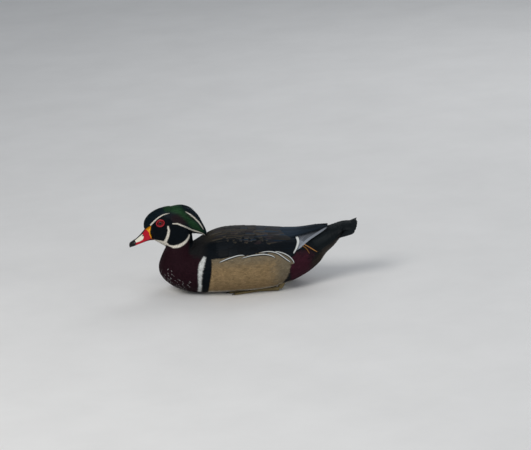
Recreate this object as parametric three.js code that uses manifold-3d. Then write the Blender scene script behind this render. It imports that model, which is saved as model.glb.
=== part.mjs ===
// A drake wood duck at life size, resting on its belly with its feet tucked under, as a swimming bird sits.
// Millimetres, +Z up. The bird faces -X, its left side is towards -Y, and the floor is at Z = 0.
import * as THREE from "three";
import { mergeVertices } from "three/addons/utils/BufferGeometryUtils.js";
import Module from "manifold-3d";

const wasm = await Module();
wasm.setup();

// Driving sizes
const GAP = 0.3; // between two nodes that touch
const RING = 24; // points round a body section
const SKIN_RINGS = 1.25; // rings for each step between two body sections
const HEAD_RINGS = 1.45; // the same on the head
const RAISED = 0.9; // how far a feather's tip stands off the one beneath
const BLADE = 0.65; // thickness of a free flight feather
const WING_DEPTH = 4.6; // thickness of the folded wing and of the flank plumage
const EYE_RADIUS = 5.6;
const EYE_DEPTH = 3.7;
const LID = { along: 6.3, across: 5.2, tube: 1.25, tilt: 0.22 };
const EYE_AT = { s: 23.6, angle: 11.5 };
// The tail's fan: its middle line, and its half width and the drop of its edges at the root with their growth.
const TAIL = {
  root: 122, length: 66, rootHeight: 72, rise: 27.5,
  rootHalf: 13, spread: 14, rootDrop: 3, drop: 6,
};
const TAIL_PAIRS = 5;
const LONGEST_PAIR = 2; // of the tail, counted from the middle
const TAIL_FEATHER = { width: 14, shorter: 0.011, raised: 1.2, lower: 0.95 };

// The body from the tail to the bill. Each section lies in the plane of its top and bottom points and is
// [top x, top z, bottom x, bottom z, half width, height of the widest place from -1 to 1, roundness above and below].
const BODY = [
  [166, 95, 167, 89, 12, -0.2, 2.2, 2.2],
  [158, 92.5, 160, 75, 20, -0.2, 2.2, 2.2],
  [145, 88, 149, 61, 24, -0.1, 2.2, 2.2],
  [129, 82.5, 136, 48.5, 25.5, 0, 2.2, 2.2],
  [110, 80, 124, 33, 31, 0, 2.2, 2.2],
  [89, 83, 105, 19, 42, -0.05, 2.2, 2.2],
  [67, 88.5, 80, 8, 55, -0.1, 2.2, 2.2],
  [42, 92.5, 50, 0, 64.5, -0.12, 2.2, 2.2],
  [15, 95.5, 16, -2.5, 69.5, -0.14, 2.2, 2.2],
  [-14, 97, -18, -2.5, 70, -0.15, 2.2, 2.2],
  [-37, 95.5, -50, -2.5, 66, -0.15, 2.2, 2.2],
  [-54, 90, -82, -0.5, 59, -0.12, 2.2, 2.2],
  [-65.5, 84, -107, 6, 51, -0.1, 2.2, 2.2],
  [-72.5, 79.5, -125, 18, 44.5, -0.08, 2.2, 2.2],
  [-75.5, 77.5, -134.5, 31, 39, -0.05, 2.1, 2.2],
  [-77, 78, -136, 43.5, 34, 0, 2.1, 2.1],
  [-78, 81, -131.5, 56.5, 29.5, 0, 2.1, 2.1],
  [-78.3, 86.5, -126, 67, 26, 0, 2.1, 2.1],
  [-78.6, 93.5, -122.3, 74.3, 23.8, 0, 2.1, 2.1],
  [-80.2, 102, -124.5, 76.8, 22.8, -0.05, 2.1, 2.1],
  [-83.7, 112.5, -128.5, 79.6, 22.5, -0.1, 2.1, 2.1],
  [-89.5, 124, -132.5, 82.3, 22.3, -0.1, 2.1, 2.1],
  [-97.5, 134, -136, 84.6, 21.8, -0.1, 2.1, 2.1],
  [-110, 140.8, -138.8, 86.1, 20.8, -0.05, 2.1, 2.1],
  [-124.5, 139.6, -141, 87.2, 18.8, 0, 2.1, 2.1],
  [-137, 135.5, -142.6, 88.2, 15.4, 0, 2.1, 2.1],
  [-147, 128.8, -143.8, 89.3, 12, 0, 2.1, 2.1],
  [-153.4, 120.5, -145, 91, 9.9, 0, 2.1, 2.1],
  [-156.2, 110, -146.5, 94, 8.2, 0, 2.1, 2.1],
];
const TAIL_CUT = 3.2; // places along the body where its nodes part
const NECK_CUT = 15.6;
const HEAD_CUT = 17.9;

// The crest, from inside the head to its tip, in the same form.
const CREST = [
  [-112, 139, -104, 100, 17, 0, 2.1, 2.1],
  [-98, 141, -93, 98, 16, 0, 2.1, 2.1],
  [-86, 139.4, -85, 96, 14.5, 0, 2.1, 2.1],
  [-77.5, 134.8, -78.5, 94.5, 12.5, 0, 2.1, 2.1],
  [-70.5, 127.8, -72.5, 93.5, 10.5, 0, 2.1, 2.1],
  [-65, 119.5, -67.5, 92.5, 8.5, 0, 2.1, 2.1],
  [-61, 110, -63.3, 91.5, 6.5, 0, 2.1, 2.1],
  [-57.2, 101, -60, 90.2, 4.5, 0, 2.1, 2.1],
  [-54.6, 92.8, -56.8, 88.6, 2.4, 0, 2.1, 2.1],
];
const CREST_CORE_END = 4.6;

// The two halves of the bill, from inside the face to the tip, in the same form.
const UPPER_BILL = [
  [-141, 114.5, -137, 93.5, 14.2, -0.3, 1.9, 3],
  [-149, 110.5, -142, 91.5, 11.4, -0.5, 1.9, 3],
  [-156.5, 103.5, -148, 88.8, 9.6, -0.6, 1.8, 3],
  [-163, 96.8, -156, 86, 8.3, -0.65, 1.7, 3],
  [-169.5, 91.2, -164, 83.2, 7.6, -0.65, 1.8, 3],
  [-174.8, 88.2, -171, 80.8, 7.2, -0.6, 2, 3],
  [-179, 85.2, -176.8, 78.6, 5.8, -0.4, 2, 2.5],
  [-181.2, 81, -180.2, 76.6, 2.8, -0.1, 2, 2],
];
const LOWER_BILL = [
  [-139, 92.4, -139, 87.2, 9, 0.5, 2.5, 2],
  [-148, 89.6, -149, 87.3, 8.3, 0.5, 2.5, 2],
  [-156, 86.8, -157.5, 84.8, 7.1, 0.5, 2.5, 2],
  [-164, 84, -165.5, 82.2, 6.5, 0.5, 2.5, 2],
  [-171, 81.6, -172.5, 79.7, 6, 0.5, 2.5, 2],
  [-176, 79.5, -176.8, 78.2, 4, 0.3, 2.2, 2],
];
// The bill's border on the side of the face, seen from the left, as x and z.
const BILL_BORDER = [
  [-190, 70], [-138, 82], [-143.4, 91.5], [-146, 99.5], [-144.9, 107], [-142.7, 115.4], [-156.2, 106.6],
  [-190, 106],
];
const NOSTRIL = { x: -158.5, z: 96.3, length: 2.6, height: 1.3, depth: 2 };

const radians = THREE.MathUtils.degToRad;
const clamp = THREE.MathUtils.clamp;
const smooth = THREE.MathUtils.smoothstep;

// Catmull-Rom interpolation between rows of numbers, with s counted in rows.
function between(rows, s) {
  const last = rows.length - 1;
  const i = clamp(Math.floor(s), 0, last - 1);
  const t = s - i;
  const row = (k) => rows[clamp(k, 0, last)];
  const [a, b, c, d] = [row(i - 1), row(i), row(i + 1), row(i + 2)];
  return b.map(
    (_, j) =>
      0.5 * (2 * b[j] + (c[j] - a[j]) * t + (2 * a[j] - 5 * b[j] + 4 * c[j] - d[j]) * t * t +
        (3 * b[j] - a[j] - 3 * c[j] + d[j]) * t * t * t),
  );
}

// A point of a section. The angle runs from -90 at the bottom over the left side, 90 at the top, and to the right.
function sectionPoint(rows, s, angle, grow = 0) {
  const [topX, topZ, lowX, lowZ, half, widest, roundTop, roundLow] = between(rows, s);
  const chord = new THREE.Vector2(topX - lowX, topZ - lowZ);
  const reach = chord.length() / 2 + grow;
  chord.normalize();
  const sine = Math.sin(radians(angle));
  const cosine = Math.cos(radians(angle));
  const power = 2 / (sine >= 0 ? roundTop : roundLow);
  const rise = Math.pow(Math.abs(sine), power);
  const height = sine >= 0 ? widest + (1 - widest) * rise : widest - (1 + widest) * rise;
  const across = (half + grow) * Math.sign(cosine) * Math.pow(Math.abs(cosine), power);
  return new THREE.Vector3(
    (topX + lowX) / 2 + chord.x * reach * height, -across, (topZ + lowZ) / 2 + chord.y * reach * height,
  );
}

// A surface gives the point over two parameters, lifted along its outward normal.
function liftedFrom(pointAt, outward) {
  return (p, q, lift = 0) => {
    const dp = 0.01;
    const dq = 0.4;
    const point = pointAt(p, q);
    if (lift === 0) return point;
    const alongP = pointAt(p + dp, q).sub(pointAt(p - dp, q));
    const alongQ = pointAt(p, q + dq).sub(pointAt(p, q - dq));
    const normal = alongP.cross(alongQ).normalize();
    if (normal.dot(outward(point)) < 0) normal.negate();
    return point.addScaledVector(normal, lift);
  };
}
const bodySurface = liftedFrom(
  (s, angle) => sectionPoint(BODY, s, angle),
  (p) => new THREE.Vector3(0, p.y, p.z - 45),
);
const crestSurface = liftedFrom(
  (s, angle) => sectionPoint(CREST, s, angle),
  (p) => new THREE.Vector3(p.x + 96, p.y * 3, p.z - 108),
);
// The fanned tail: u runs from its root to its tip, and the angle from -90 at the left edge to 90 at the right.
const tailSurface = liftedFrom(
  (u, angle) => {
    const k = angle / 90;
    return new THREE.Vector3(
      TAIL.root + TAIL.length * u,
      k * (TAIL.rootHalf + TAIL.spread * u),
      TAIL.rootHeight + TAIL.rise * u - (TAIL.rootDrop + TAIL.drop * u) * k * k,
    );
  },
  () => new THREE.Vector3(0, 0, 1),
);

// Where along the body a place on its side has this x.
function bodyAt(x, angle) {
  let [rear, front] = [0, BODY.length - 1];
  for (let i = 0; i < 30; i++) {
    const middle = (rear + front) / 2;
    if (sectionPoint(BODY, middle, angle).x > x) rear = middle;
    else front = middle;
  }
  return (rear + front) / 2;
}
const sideSurface = (x, angle, lift) => bodySurface(bodyAt(x, angle), angle, lift);

// Solids from vertices and triangles, turned to face outwards.
function closed(points, triangles) {
  const make = (faces) =>
    new wasm.Manifold(
      new wasm.Mesh({
        numProp: 3,
        vertProperties: new Float32Array(points.flatMap((p) => [p.x, p.y, p.z])),
        triVerts: new Uint32Array(faces.flat()),
      }),
    );
  const made = make(triangles);
  return made.volume() > 0 ? made : make(triangles.map(([a, b, c]) => [a, c, b]));
}

function fromGeometry(geometry) {
  const bare = geometry.index ? geometry.toNonIndexed() : geometry.clone();
  bare.deleteAttribute("normal");
  bare.deleteAttribute("uv");
  const merged = mergeVertices(bare, 1e-3);
  const place = merged.attributes.position;
  const point = (_, i) => new THREE.Vector3().fromBufferAttribute(place, i);
  const points = Array.from({ length: place.count }, point);
  const faces = [];
  for (let i = 0; i < merged.index.count; i += 3) faces.push(Array.from(merged.index.array.slice(i, i + 3)));
  return closed(points, faces);
}

// Rings of equal length joined into a closed body with a flat fan at each end.
function skinned(rings) {
  const count = rings[0].length;
  const points = rings.flat();
  const faces = [];
  for (let i = 0; i + 1 < rings.length; i++)
    for (let j = 0; j < count; j++) {
      const [a, b] = [i * count + j, i * count + ((j + 1) % count)];
      faces.push([a, b, b + count], [a, b + count, a + count]);
    }
  for (const [start, flip] of [[0, true], [(rings.length - 1) * count, false]]) {
    const middle = new THREE.Vector3();
    for (let j = 0; j < count; j++) middle.addScaledVector(points[start + j], 1 / count);
    points.push(middle);
    const hub = points.length - 1;
    for (let j = 0; j < count; j++) {
      const [a, b] = [start + j, start + ((j + 1) % count)];
      faces.push(flip ? [b, a, hub] : [a, b, hub]);
    }
  }
  return closed(points, faces);
}

// A length of a sectioned form. Each end can be drawn back by some millimetres to leave room for the next node.
function length(rows, from, to, { grow = 0, back = [0, 0], ring = RING, steps = SKIN_RINGS } = {}) {
  const count = Math.max(2, Math.round((to - from) * steps) + 1);
  const rings = [];
  for (let i = 0; i < count; i++) {
    const s = from + ((to - from) * i) / (count - 1);
    rings.push(Array.from({ length: ring }, (_, j) => sectionPoint(rows, s, (j * 360) / ring - 90, grow)));
  }
  const centre = (ring) => ring.reduce((sum, p) => sum.add(p), new THREE.Vector3()).divideScalar(ring.length);
  for (const [end, next, distance] of [[0, 1, back[0]], [count - 1, count - 2, back[1]]]) {
    if (!distance) continue;
    const [topX, topZ, lowX, lowZ] = between(rows, end ? to : from);
    const normal = new THREE.Vector3(topZ - lowZ, 0, lowX - topX).normalize();
    if (normal.dot(centre(rings[next]).sub(centre(rings[end]))) < 0) normal.negate();
    rings[end].forEach((p) => p.addScaledVector(normal, distance));
  }
  return skinned(rings);
}

// A closed sheet: pointAt(a, b, lift) over a and b from 0 to 1, with both faces split into triangles alike.
function sheet(pointAt, na, nb, over, under) {
  const points = [];
  for (const lift of [over, under])
    for (let i = 0; i <= na; i++)
      for (let j = 0; j <= nb; j++) points.push(pointAt(i / na, j / nb, lift(i / na, j / nb)));
  const at = (i, j, face) => face * (na + 1) * (nb + 1) + i * (nb + 1) + j;
  const faces = [];
  for (let i = 0; i < na; i++)
    for (let j = 0; j < nb; j++)
      for (const face of [0, 1]) {
        const [a, b, c, d] = [at(i, j, face), at(i + 1, j, face), at(i + 1, j + 1, face), at(i, j + 1, face)];
        faces.push(face ? [a, c, b] : [a, b, c], face ? [a, d, c] : [a, c, d]);
      }
  const rim = [];
  for (let i = 0; i < na; i++) rim.push([i, 0]);
  for (let j = 0; j < nb; j++) rim.push([na, j]);
  for (let i = na; i > 0; i--) rim.push([i, nb]);
  for (let j = nb; j > 0; j--) rim.push([0, j]);
  rim.forEach(([i, j], n) => {
    const [k, l] = rim[(n + 1) % rim.length];
    faces.push([at(k, l, 0), at(i, j, 0), at(i, j, 1)], [at(k, l, 0), at(i, j, 1), at(k, l, 1)]);
  });
  return closed(points, faces);
}

// The half width of a feather along its length: narrow at the root and rounded at the tip.
function featherHalf(u, width, { root = 0.55, tip = 0.72, blunt = 0.14 } = {}) {
  const swell = root + (1 - root) * smooth(u, 0, 0.4);
  const end = clamp((u - tip) / (1 - tip), 0, 1);
  return (width / 2) * swell * Math.max(blunt, Math.sqrt(1 - Math.pow(end, 2.4)));
}

// A feather that follows a surface along a path of its two parameters. The lifts are those of its upper and under
// faces, at the root and at the tip.
function feather(surface, path, width, over, under, options = {}) {
  const { steps = 4, across = 2, crown = 0.25, shape } = options;
  const place = (u) => between(path, u * (path.length - 1));
  return sheet(
    (a, b, lift) => {
      const u = 1 - Math.pow(1 - a, 1.35);
      const [p, q] = place(u);
      const [dp, dq] = [0.02, 0.8];
      const here = surface(p, q, 0);
      const alongP = surface(p + dp, q, 0).sub(here).divideScalar(dp);
      const alongQ = surface(p, q + dq, 0).sub(here).divideScalar(dq);
      const ahead = Math.min(u, 0.98);
      const [p0, q0] = place(ahead);
      const [p1, q1] = place(ahead + 0.02);
      const way = alongP.clone().multiplyScalar(p1 - p0).addScaledVector(alongQ, q1 - q0).normalize();
      const side = alongP.clone().cross(alongQ).normalize().cross(way);
      const offset = side.multiplyScalar((2 * b - 1) * featherHalf(u, width, shape));
      // The offset is turned into steps of the two parameters, so that the feather bends with the surface.
      const [pp, qq, pq] = [alongP.dot(alongP), alongQ.dot(alongQ), alongP.dot(alongQ)];
      const [op, oq] = [offset.dot(alongP), offset.dot(alongQ)];
      const scale = pp * qq - pq * pq;
      return surface(p + (op * qq - oq * pq) / scale, q + (oq * pp - op * pq) / scale, lift);
    },
    steps,
    across,
    (a, b) => over[0] + (over[1] - over[0]) * a + crown * (1 - Math.pow(2 * b - 1, 2)),
    (a) => under[0] + (under[1] - under[0]) * a,
  );
}

// A free flight feather along a curve of points, with its upper face turned as given at the root and at the tip.
function blade(path, facing, width, { lift = 0, steps = 4, across = 2, crown = 0.5, shape } = {}) {
  const curve = new THREE.CatmullRomCurve3(path.map((p) => new THREE.Vector3(...p)));
  return sheet(
    (a, b, height) => {
      const u = 1 - Math.pow(1 - a, 1.35);
      const normal = new THREE.Vector3(...facing[0]).lerp(new THREE.Vector3(...facing[1]), u);
      const way = curve.getTangent(u);
      normal.addScaledVector(way, -normal.dot(way)).normalize();
      const c = 2 * b - 1;
      return curve
        .getPoint(u)
        .addScaledVector(normal.clone().cross(way), c * featherHalf(u, width, shape))
        .addScaledVector(normal, height + lift - crown * c * c);
    },
    steps,
    across,
    () => BLADE / 2,
    () => -BLADE / 2,
  );
}

// A tapering limb: rings of given radii along points, flattened to a share of their height.
function limb(path, radii, { sides = 8, flat = 1, steps = 1 } = {}) {
  const curve = new THREE.CatmullRomCurve3(path.map((p) => new THREE.Vector3(...p)));
  const count = (path.length - 1) * steps + 1;
  const rings = [];
  for (let i = 0; i < count; i++) {
    const u = i / (count - 1);
    const [radius] = between(radii.map((r) => [r]), u * (radii.length - 1));
    const way = curve.getTangent(u);
    const side = new THREE.Vector3(0, 0, 1).cross(way).normalize();
    const up = way.clone().cross(side);
    rings.push(
      Array.from({ length: sides }, (_, j) => {
        const turn = (j * 2 * Math.PI) / sides;
        return curve
          .getPoint(u)
          .addScaledVector(side, radius * Math.cos(turn))
          .addScaledVector(up, radius * flat * Math.sin(turn));
      }),
    );
  }
  return skinned(rings);
}

// Joins pieces into one body and keeps its largest closed surface.
function joined(pieces) {
  return largest(pieces.reduce((sum, piece) => sum.add(piece)));
}
function largest(solid) {
  return solid.decompose().reduce((best, body) => (body.volume() > best.volume() ? body : best));
}
// The same body once its nearly equal vertices are merged, without what that pinches off.
function settled(solid) {
  const mesh = solid.getMesh();
  const geometry = new THREE.BufferGeometry();
  geometry.setAttribute("position", new THREE.BufferAttribute(new Float32Array(mesh.vertProperties), 3));
  geometry.setIndex(new THREE.BufferAttribute(new Uint32Array(mesh.triVerts), 1));
  return largest(fromGeometry(geometry));
}
function without(solid, ...cuts) {
  return largest(cuts.reduce((rest, cut) => rest.subtract(cut), solid));
}
function mirrored(solid) {
  const mesh = solid.getMesh();
  const points = [];
  for (let i = 0; i < mesh.numVert; i++) {
    const [x, y, z] = mesh.vertProperties.subarray(i * mesh.numProp, i * mesh.numProp + 3);
    points.push(new THREE.Vector3(x, -y, z));
  }
  const faces = [];
  for (let i = 0; i < mesh.triVerts.length; i += 3) faces.push(Array.from(mesh.triVerts.subarray(i, i + 3)));
  return closed(points, faces);
}
function block(low, high) {
  const box = new THREE.BoxGeometry(high[0] - low[0], high[1] - low[1], high[2] - low[2]);
  return fromGeometry(box.translate((low[0] + high[0]) / 2, (low[1] + high[1]) / 2, (low[2] + high[2]) / 2));
}
const UNDER_FLOOR = block([-300, -200, -60], [300, 200, 0]);

// Lines that bound the folded wing and the flank on the left side, as x and angle round the body.
const WING_LOW = [
  [-58, 26], [-37, 26], [-21, 27.6], [-5, 30.7], [16, 31.5], [32, 32.5], [43, 33.5], [53, 30], [62, 23], [70, 18],
  [80, 18], [92, 34],
];
const WING_HIGH = [[-58, 50], [-45, 76], [-25, 82], [0, 84], [40, 84], [70, 82], [92, 74]];
const FLANK_HIGH = [
  [-49, 25], [-37, 25], [-21, 26.6], [-5, 29.7], [16, 30.5], [32, 31.5], [43, 32.5], [53, 28.5], [62, 20.5],
  [70, 10], [76, 1],
];
const FLANK_LOW = [[-49, -22], [-21, -30], [16, -30], [46, -22], [76, -8]];
const lineAt = (line, x) => {
  const last = line.length - 1;
  const i = clamp(line.findIndex(([place]) => place >= x) - 1, 0, last - 1);
  const t = clamp((x - line[i][0]) / (line[i + 1][0] - line[i][0]), 0, 1);
  return line[i][1] + (line[i + 1][1] - line[i][1]) * t;
};
// A slab of plumage on the left side between two such lines, grown in its own plane by some millimetres.
function slab(low, high, over, under, { grow = 0, na = 11, nb = 3 } = {}) {
  const [start, end] = [Math.max(low[0][0], high[0][0]), Math.min(low.at(-1)[0], high.at(-1)[0])];
  const margin = 1.5 * grow;
  return sheet(
    (a, b, lift) => {
      const x = start + (end - start) * a;
      const [from, to] = [lineAt(low, x) - margin, lineAt(high, x) + margin];
      const past = (a === 1 ? grow : 0) - (a === 0 ? grow : 0);
      return sideSurface(x + past, from + (to - from) * b, lift);
    },
    na,
    nb,
    over,
    under,
  );
}

// Nodes of the left side; each is mirrored for the right.
// Rows of feathers that lie on the wing or the flank: [first x, reach in x, width, turn at the tip, angles].
const COVERT_ROWS = [[-40, 50, 18, -1.5, [38, 52]]];
const SCAPULAR_ROWS = [
  [-42, 46, 20, -3, [66, 79]],
  [-6, 52, 20, -4, [64, 77]],
];
const rowPaths = (rows) =>
  rows.flatMap(([x, reach, width, turn, angles]) =>
    angles.map((angle) => [[[x, angle], [x + reach / 2, angle + turn / 3], [x + reach, angle + turn]], width]),
  );
// The secondaries end one above the other in the bar across the wing.
const SECONDARIES = { count: 4, width: 15 };
const secondaryPath = (i) => {
  const [from, to] = [38 + 7 * i, 25 + 12 * i];
  return [[20, from], [50, (from + to) / 2], [80 + 2.6 * i, to]];
};
// Free flight feathers start on the wing, at places given as [x, angle, lift], and end at a point over the rump.
// The outermost primary is the lowest and the longest, and the broad tertials lie over them.
const PRIMARIES = {
  count: 4,
  width: 10,
  raised: 0,
  shape: { tip: 0.6 },
  on: (i) => [[56, 26 + 6 * i, -3.4], [86, 33 + 8 * i, 1.4], [108 - 3 * i, 50 + 5 * i, 4]],
  tip: (i) => [141 - 7 * i, -7 + 0.6 * i, 90.3],
};
const TERTIALS = {
  count: 3,
  width: 16,
  raised: 2,
  shape: { tip: 0.62, root: 0.7 },
  on: (i) => [[34, 50 + 10 * i, -3], [64, 51 + 10 * i, 0.8], [92 - 2 * i, 60 + 8 * i, 5.2]],
  tip: (i) => [140 - 10 * i, -6.5 + 1.2 * i, 91.5 - 0.4 * i],
};
const OVERLAY = 0.95; // from one free flight feather to the next over it
const LYING = { steps: 3 };
const MIDDLE = block([-300, -GAP / 2, -60], [300, 200, 300]);
function wing() {
  const pieces = [slab(WING_LOW, WING_HIGH, () => -1, () => -WING_DEPTH)];
  const secondaries = Array.from({ length: SECONDARIES.count }, (_, i) => [secondaryPath(i), SECONDARIES.width]);
  for (const [path, width] of [...rowPaths(COVERT_ROWS), ...secondaries, ...rowPaths(SCAPULAR_ROWS)])
    pieces.push(feather(sideSurface, path, width, [-0.7, RAISED], [-2.6, -2.2], LYING));
  const outwardAt = ([x, angle]) => sideSurface(x, angle, 1).sub(sideSurface(x, angle, 0)).toArray();
  for (const { count, width, raised, shape, on, tip } of [PRIMARIES, TERTIALS])
    for (let i = 0; i < count; i++) {
      const places = on(i);
      const path = [...places.map((place) => sideSurface(...place).toArray()), tip(i)];
      const facing = [outwardAt(places[0]), outwardAt(places[2])];
      pieces.push(blade(path, facing, width, { lift: raised + OVERLAY * i, shape }));
    }
  return joined(pieces);
}

// The long upper flank feathers sweep along the flank's border as [first x, last x, degrees below the border].
const FLANK_EDGE = [[-46, -14, 6], [-24, 14, 6], [0, 40, 6], [20, 60, 6.5], [36, 69, 7]];
const FLANK_EDGE_WIDTH = 11;
const FLANK_ROWS = [[38, 32, 17, -4, [4, -9]]];
function flank() {
  const pieces = [slab(FLANK_LOW, FLANK_HIGH, () => -0.6, () => -WING_DEPTH + 0.6)];
  const edges = FLANK_EDGE.map(([from, to, below]) => [
    [0, 0.35, 0.7, 1].map((t) => from + (to - from) * t).map((x) => [x, lineAt(FLANK_HIGH, x) - below]),
    FLANK_EDGE_WIDTH,
  ]);
  for (const [path, width] of [...edges, ...rowPaths(FLANK_ROWS)])
    pieces.push(feather(sideSurface, path, width, [-0.4, RAISED], [-2.2, -1.8], LYING));
  return joined(pieces);
}

const TAIL_COVERTS = [[3.0, 1.9, [90, 60, 120]], [2.6, 1.9, [34, 146]], [3.0, 1.9, [-66, -114]]];
function tail() {
  const pieces = [length(BODY, 0, TAIL_CUT, { back: [0, GAP / 2], ring: 20 })];
  // Tail feathers in pairs, the middle pair uppermost. The fan's end is rounded.
  for (let i = 0; i <= TAIL_PAIRS; i++)
    for (const side of i ? [-1, 1] : [1]) {
      const angle = side * (90 / (TAIL_PAIRS + 0.4)) * i;
      const reach = 1 - TAIL_FEATHER.shorter * (i - LONGEST_PAIR) ** 2;
      const lift = TAIL_FEATHER.raised - TAIL_FEATHER.lower * i;
      const path = [[0.1, angle * 0.8], [0.4, angle * 0.92], [0.7, angle], [reach, angle]];
      pieces.push(
        feather(tailSurface, path, TAIL_FEATHER.width, [lift, lift], [lift - BLADE, lift - BLADE],
          { crown: 0, shape: { root: 0.5, tip: 0.8, blunt: 0.3 } }),
      );
    }
  // Coverts above and below, over the tail's root.
  for (const [s, reach, angles] of TAIL_COVERTS)
    for (const angle of angles)
      pieces.push(
        feather(bodySurface, [[s, angle], [s - reach / 2, angle], [s - reach, angle]], 15,
          [-0.3, RAISED + 0.4], [-2.4, -1.6], { steps: 3 }),
      );
  return joined(pieces);
}

// Crest feathers as [root, tip, width, angles round the crest]: short ones near the head, long ones to the tip.
const CREST_FEATHERS = [
  [1.4, 6.0, 9, [64, 116, 8, 172, -40, -140]],
  [2.8, 7.9, 7.5, [90, 40, 140, -8, 188, -62, -118]],
];
function crest() {
  const pieces = [length(CREST, 0, CREST_CORE_END, { grow: -0.8, ring: 12, steps: 1 })];
  for (const [from, to, width, angles] of CREST_FEATHERS)
    for (const angle of angles)
      pieces.push(
        feather(crestSurface, [[from, angle], [(from + to) / 2, angle], [to, angle]], width,
          [-0.4, 0.5], [-2, -0.9], { steps: 3, shape: { tip: 0.45, blunt: 0.2, root: 0.8 } }),
      );
  return joined(pieces);
}

// The bill's border on the face as a block, with its outline moved outwards.
function billBlock(grow) {
  const border = BILL_BORDER.map((p) => new THREE.Vector2(...p));
  const moved = border.map((p, i) => {
    const before = border[(i + border.length - 1) % border.length];
    const after = border[(i + 1) % border.length];
    const way = after.clone().sub(before).normalize();
    return new THREE.Vector2(p.x + way.y * grow, p.y - way.x * grow);
  });
  const prism = new THREE.ExtrudeGeometry(new THREE.Shape(moved), { depth: 60, bevelEnabled: false });
  return fromGeometry(prism.rotateX(Math.PI / 2).translate(0, 30, 0));
}
function upperBill(grow = 0) {
  const whole = length(UPPER_BILL, 0, UPPER_BILL.length - 1, { grow, ring: 18 }).intersect(billBlock(grow));
  return largest(whole);
}
function nostril(side) {
  const bean = new THREE.SphereGeometry(1, 12, 8).scale(NOSTRIL.length, NOSTRIL.depth, NOSTRIL.height);
  bean.rotateY(0.75).translate(NOSTRIL.x, side * 6.6, NOSTRIL.z);
  return fromGeometry(bean);
}
function lowerBill(grow = 0) {
  return length(LOWER_BILL, 0, LOWER_BILL.length - 1, { grow, ring: 12, steps: 1 });
}

// The left eye, set back into the head, and the bare lids round it.
function eye(grow = 0) {
  const ball = new THREE.SphereGeometry(EYE_RADIUS + grow, 12, 7);
  return fromGeometry(ball.translate(...bodySurface(EYE_AT.s, EYE_AT.angle, -EYE_DEPTH).toArray()));
}
function lids(grow = 0) {
  const centre = bodySurface(EYE_AT.s, EYE_AT.angle, 0.1);
  const outward = bodySurface(EYE_AT.s, EYE_AT.angle, 1.1).sub(centre).normalize();
  const along = new THREE.Vector3(Math.cos(LID.tilt), 0, Math.sin(LID.tilt));
  along.addScaledVector(outward, -along.dot(outward)).normalize();
  const ring = new THREE.TorusGeometry(1, 0.25, 6, 14);
  const place = ring.attributes.position;
  const up = outward.clone().cross(along);
  for (let i = 0; i < place.count; i++) {
    const [x, y, z] = [place.getX(i), place.getY(i), place.getZ(i)];
    const away = Math.hypot(x, y);
    const spread = (away - 1) * ((LID.tube + grow) / 0.25);
    const point = centre
      .clone()
      .addScaledVector(along, (x / away) * (LID.along + spread))
      .addScaledVector(up, (y / away) * (LID.across + spread))
      .addScaledVector(outward, z * ((LID.tube + grow) / 0.25));
    place.setXYZ(i, point.x, point.y, point.z);
  }
  return fromGeometry(ring);
}

// The left leg lies along the ground: the heel at the rear and the toes forward under the flank.
const HEEL = [56, -43, 4.2];
const ANKLE = [22, -40, 3];
function leg(grow = 0) {
  const shank = limb([[61, -36, 17], [60, -40, 10], HEEL], [6.5 + grow, 4.6 + grow, 3.1 + grow], { sides: 8 });
  const end = [ANKLE[0] + 0.6 - grow, ANKLE[1], ANKLE[2]];
  const bone = limb([HEEL, [40, -41.5, 3.2], end], [3.3 + grow, 2.6 + grow, 2.9 + grow], { sides: 8 });
  const ball = fromGeometry(new THREE.SphereGeometry(3.5 + grow, 8, 6).translate(...HEEL));
  return without(joined([shank, bone, ball]), UNDER_FLOOR);
}
const TOES = [
  { tip: [-14, -26], radius: 1.9 },
  { tip: [-30, -39], radius: 2.1 },
  { tip: [-21, -52], radius: 2 },
];
function foot(grow = 0) {
  const start = [ANKLE[0] - GAP + grow, ANKLE[1]];
  const pieces = TOES.map(({ tip: [x, y], radius }) => {
    const at = (t, z) => [start[0] + (x - start[0]) * t, start[1] + (y - start[1]) * t, z];
    return limb([at(0, 2.6), at(0.35, 2.1), at(0.7, 1.8), at(0.9, 1.7), at(1, 0.8)],
      [radius + 0.5, radius, radius * 0.85, radius * 0.7, 0.5].map((r) => r + grow), { sides: 6 });
  });
  const web = new THREE.Shape().moveTo(start[0] - 1, start[1] - 2);
  const [inner, middle, outer] = TOES.map(({ tip }) => tip);
  web.lineTo(outer[0] + 5, outer[1] + 0.6);
  web.quadraticCurveTo((outer[0] + middle[0]) / 2 + 8, (outer[1] + middle[1]) / 2, middle[0] + 6, middle[1]);
  web.quadraticCurveTo((inner[0] + middle[0]) / 2 + 8, (inner[1] + middle[1]) / 2, inner[0] + 5, inner[1] - 0.6);
  web.lineTo(start[0] - 1, start[1] + 2);
  const skin = new THREE.ExtrudeGeometry(web, { depth: 1.1 + grow, bevelEnabled: false, curveSegments: 3 });
  pieces.push(fromGeometry(skin));
  const hind = [start[0] + 1, start[1] + 3.4];
  const hindToe = [[-2, -1.6, 2], [5, 2, 1.5], [11, 3.4, 0.8]].map(([x, y, z]) => [hind[0] + x, hind[1] + y, z]);
  pieces.push(limb(hindToe, [1.6 + grow, 1.2 + grow, 0.4 + grow], { sides: 6 }));
  return without(joined(pieces), UNDER_FLOOR);
}

// The hollow under the flank that the foot is folded into.
const FOOT_ROOM = [[-34, -68, -2], [38, -23, 6]];

// Long narrow plumes that hang over the side of the rump.
const PLUMES = [
  [[99, 33], [106, 26], [114, 12], [122, -6]],
  [[93, 28], [99, 22], [105, 13], [109, 2]],
];
function plume(path) {
  return feather(sideSurface, path, 3, [0.4, RAISED], [-1.4, -1], { across: 1, shape: { root: 0.8, tip: 0.8 } });
}

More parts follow.
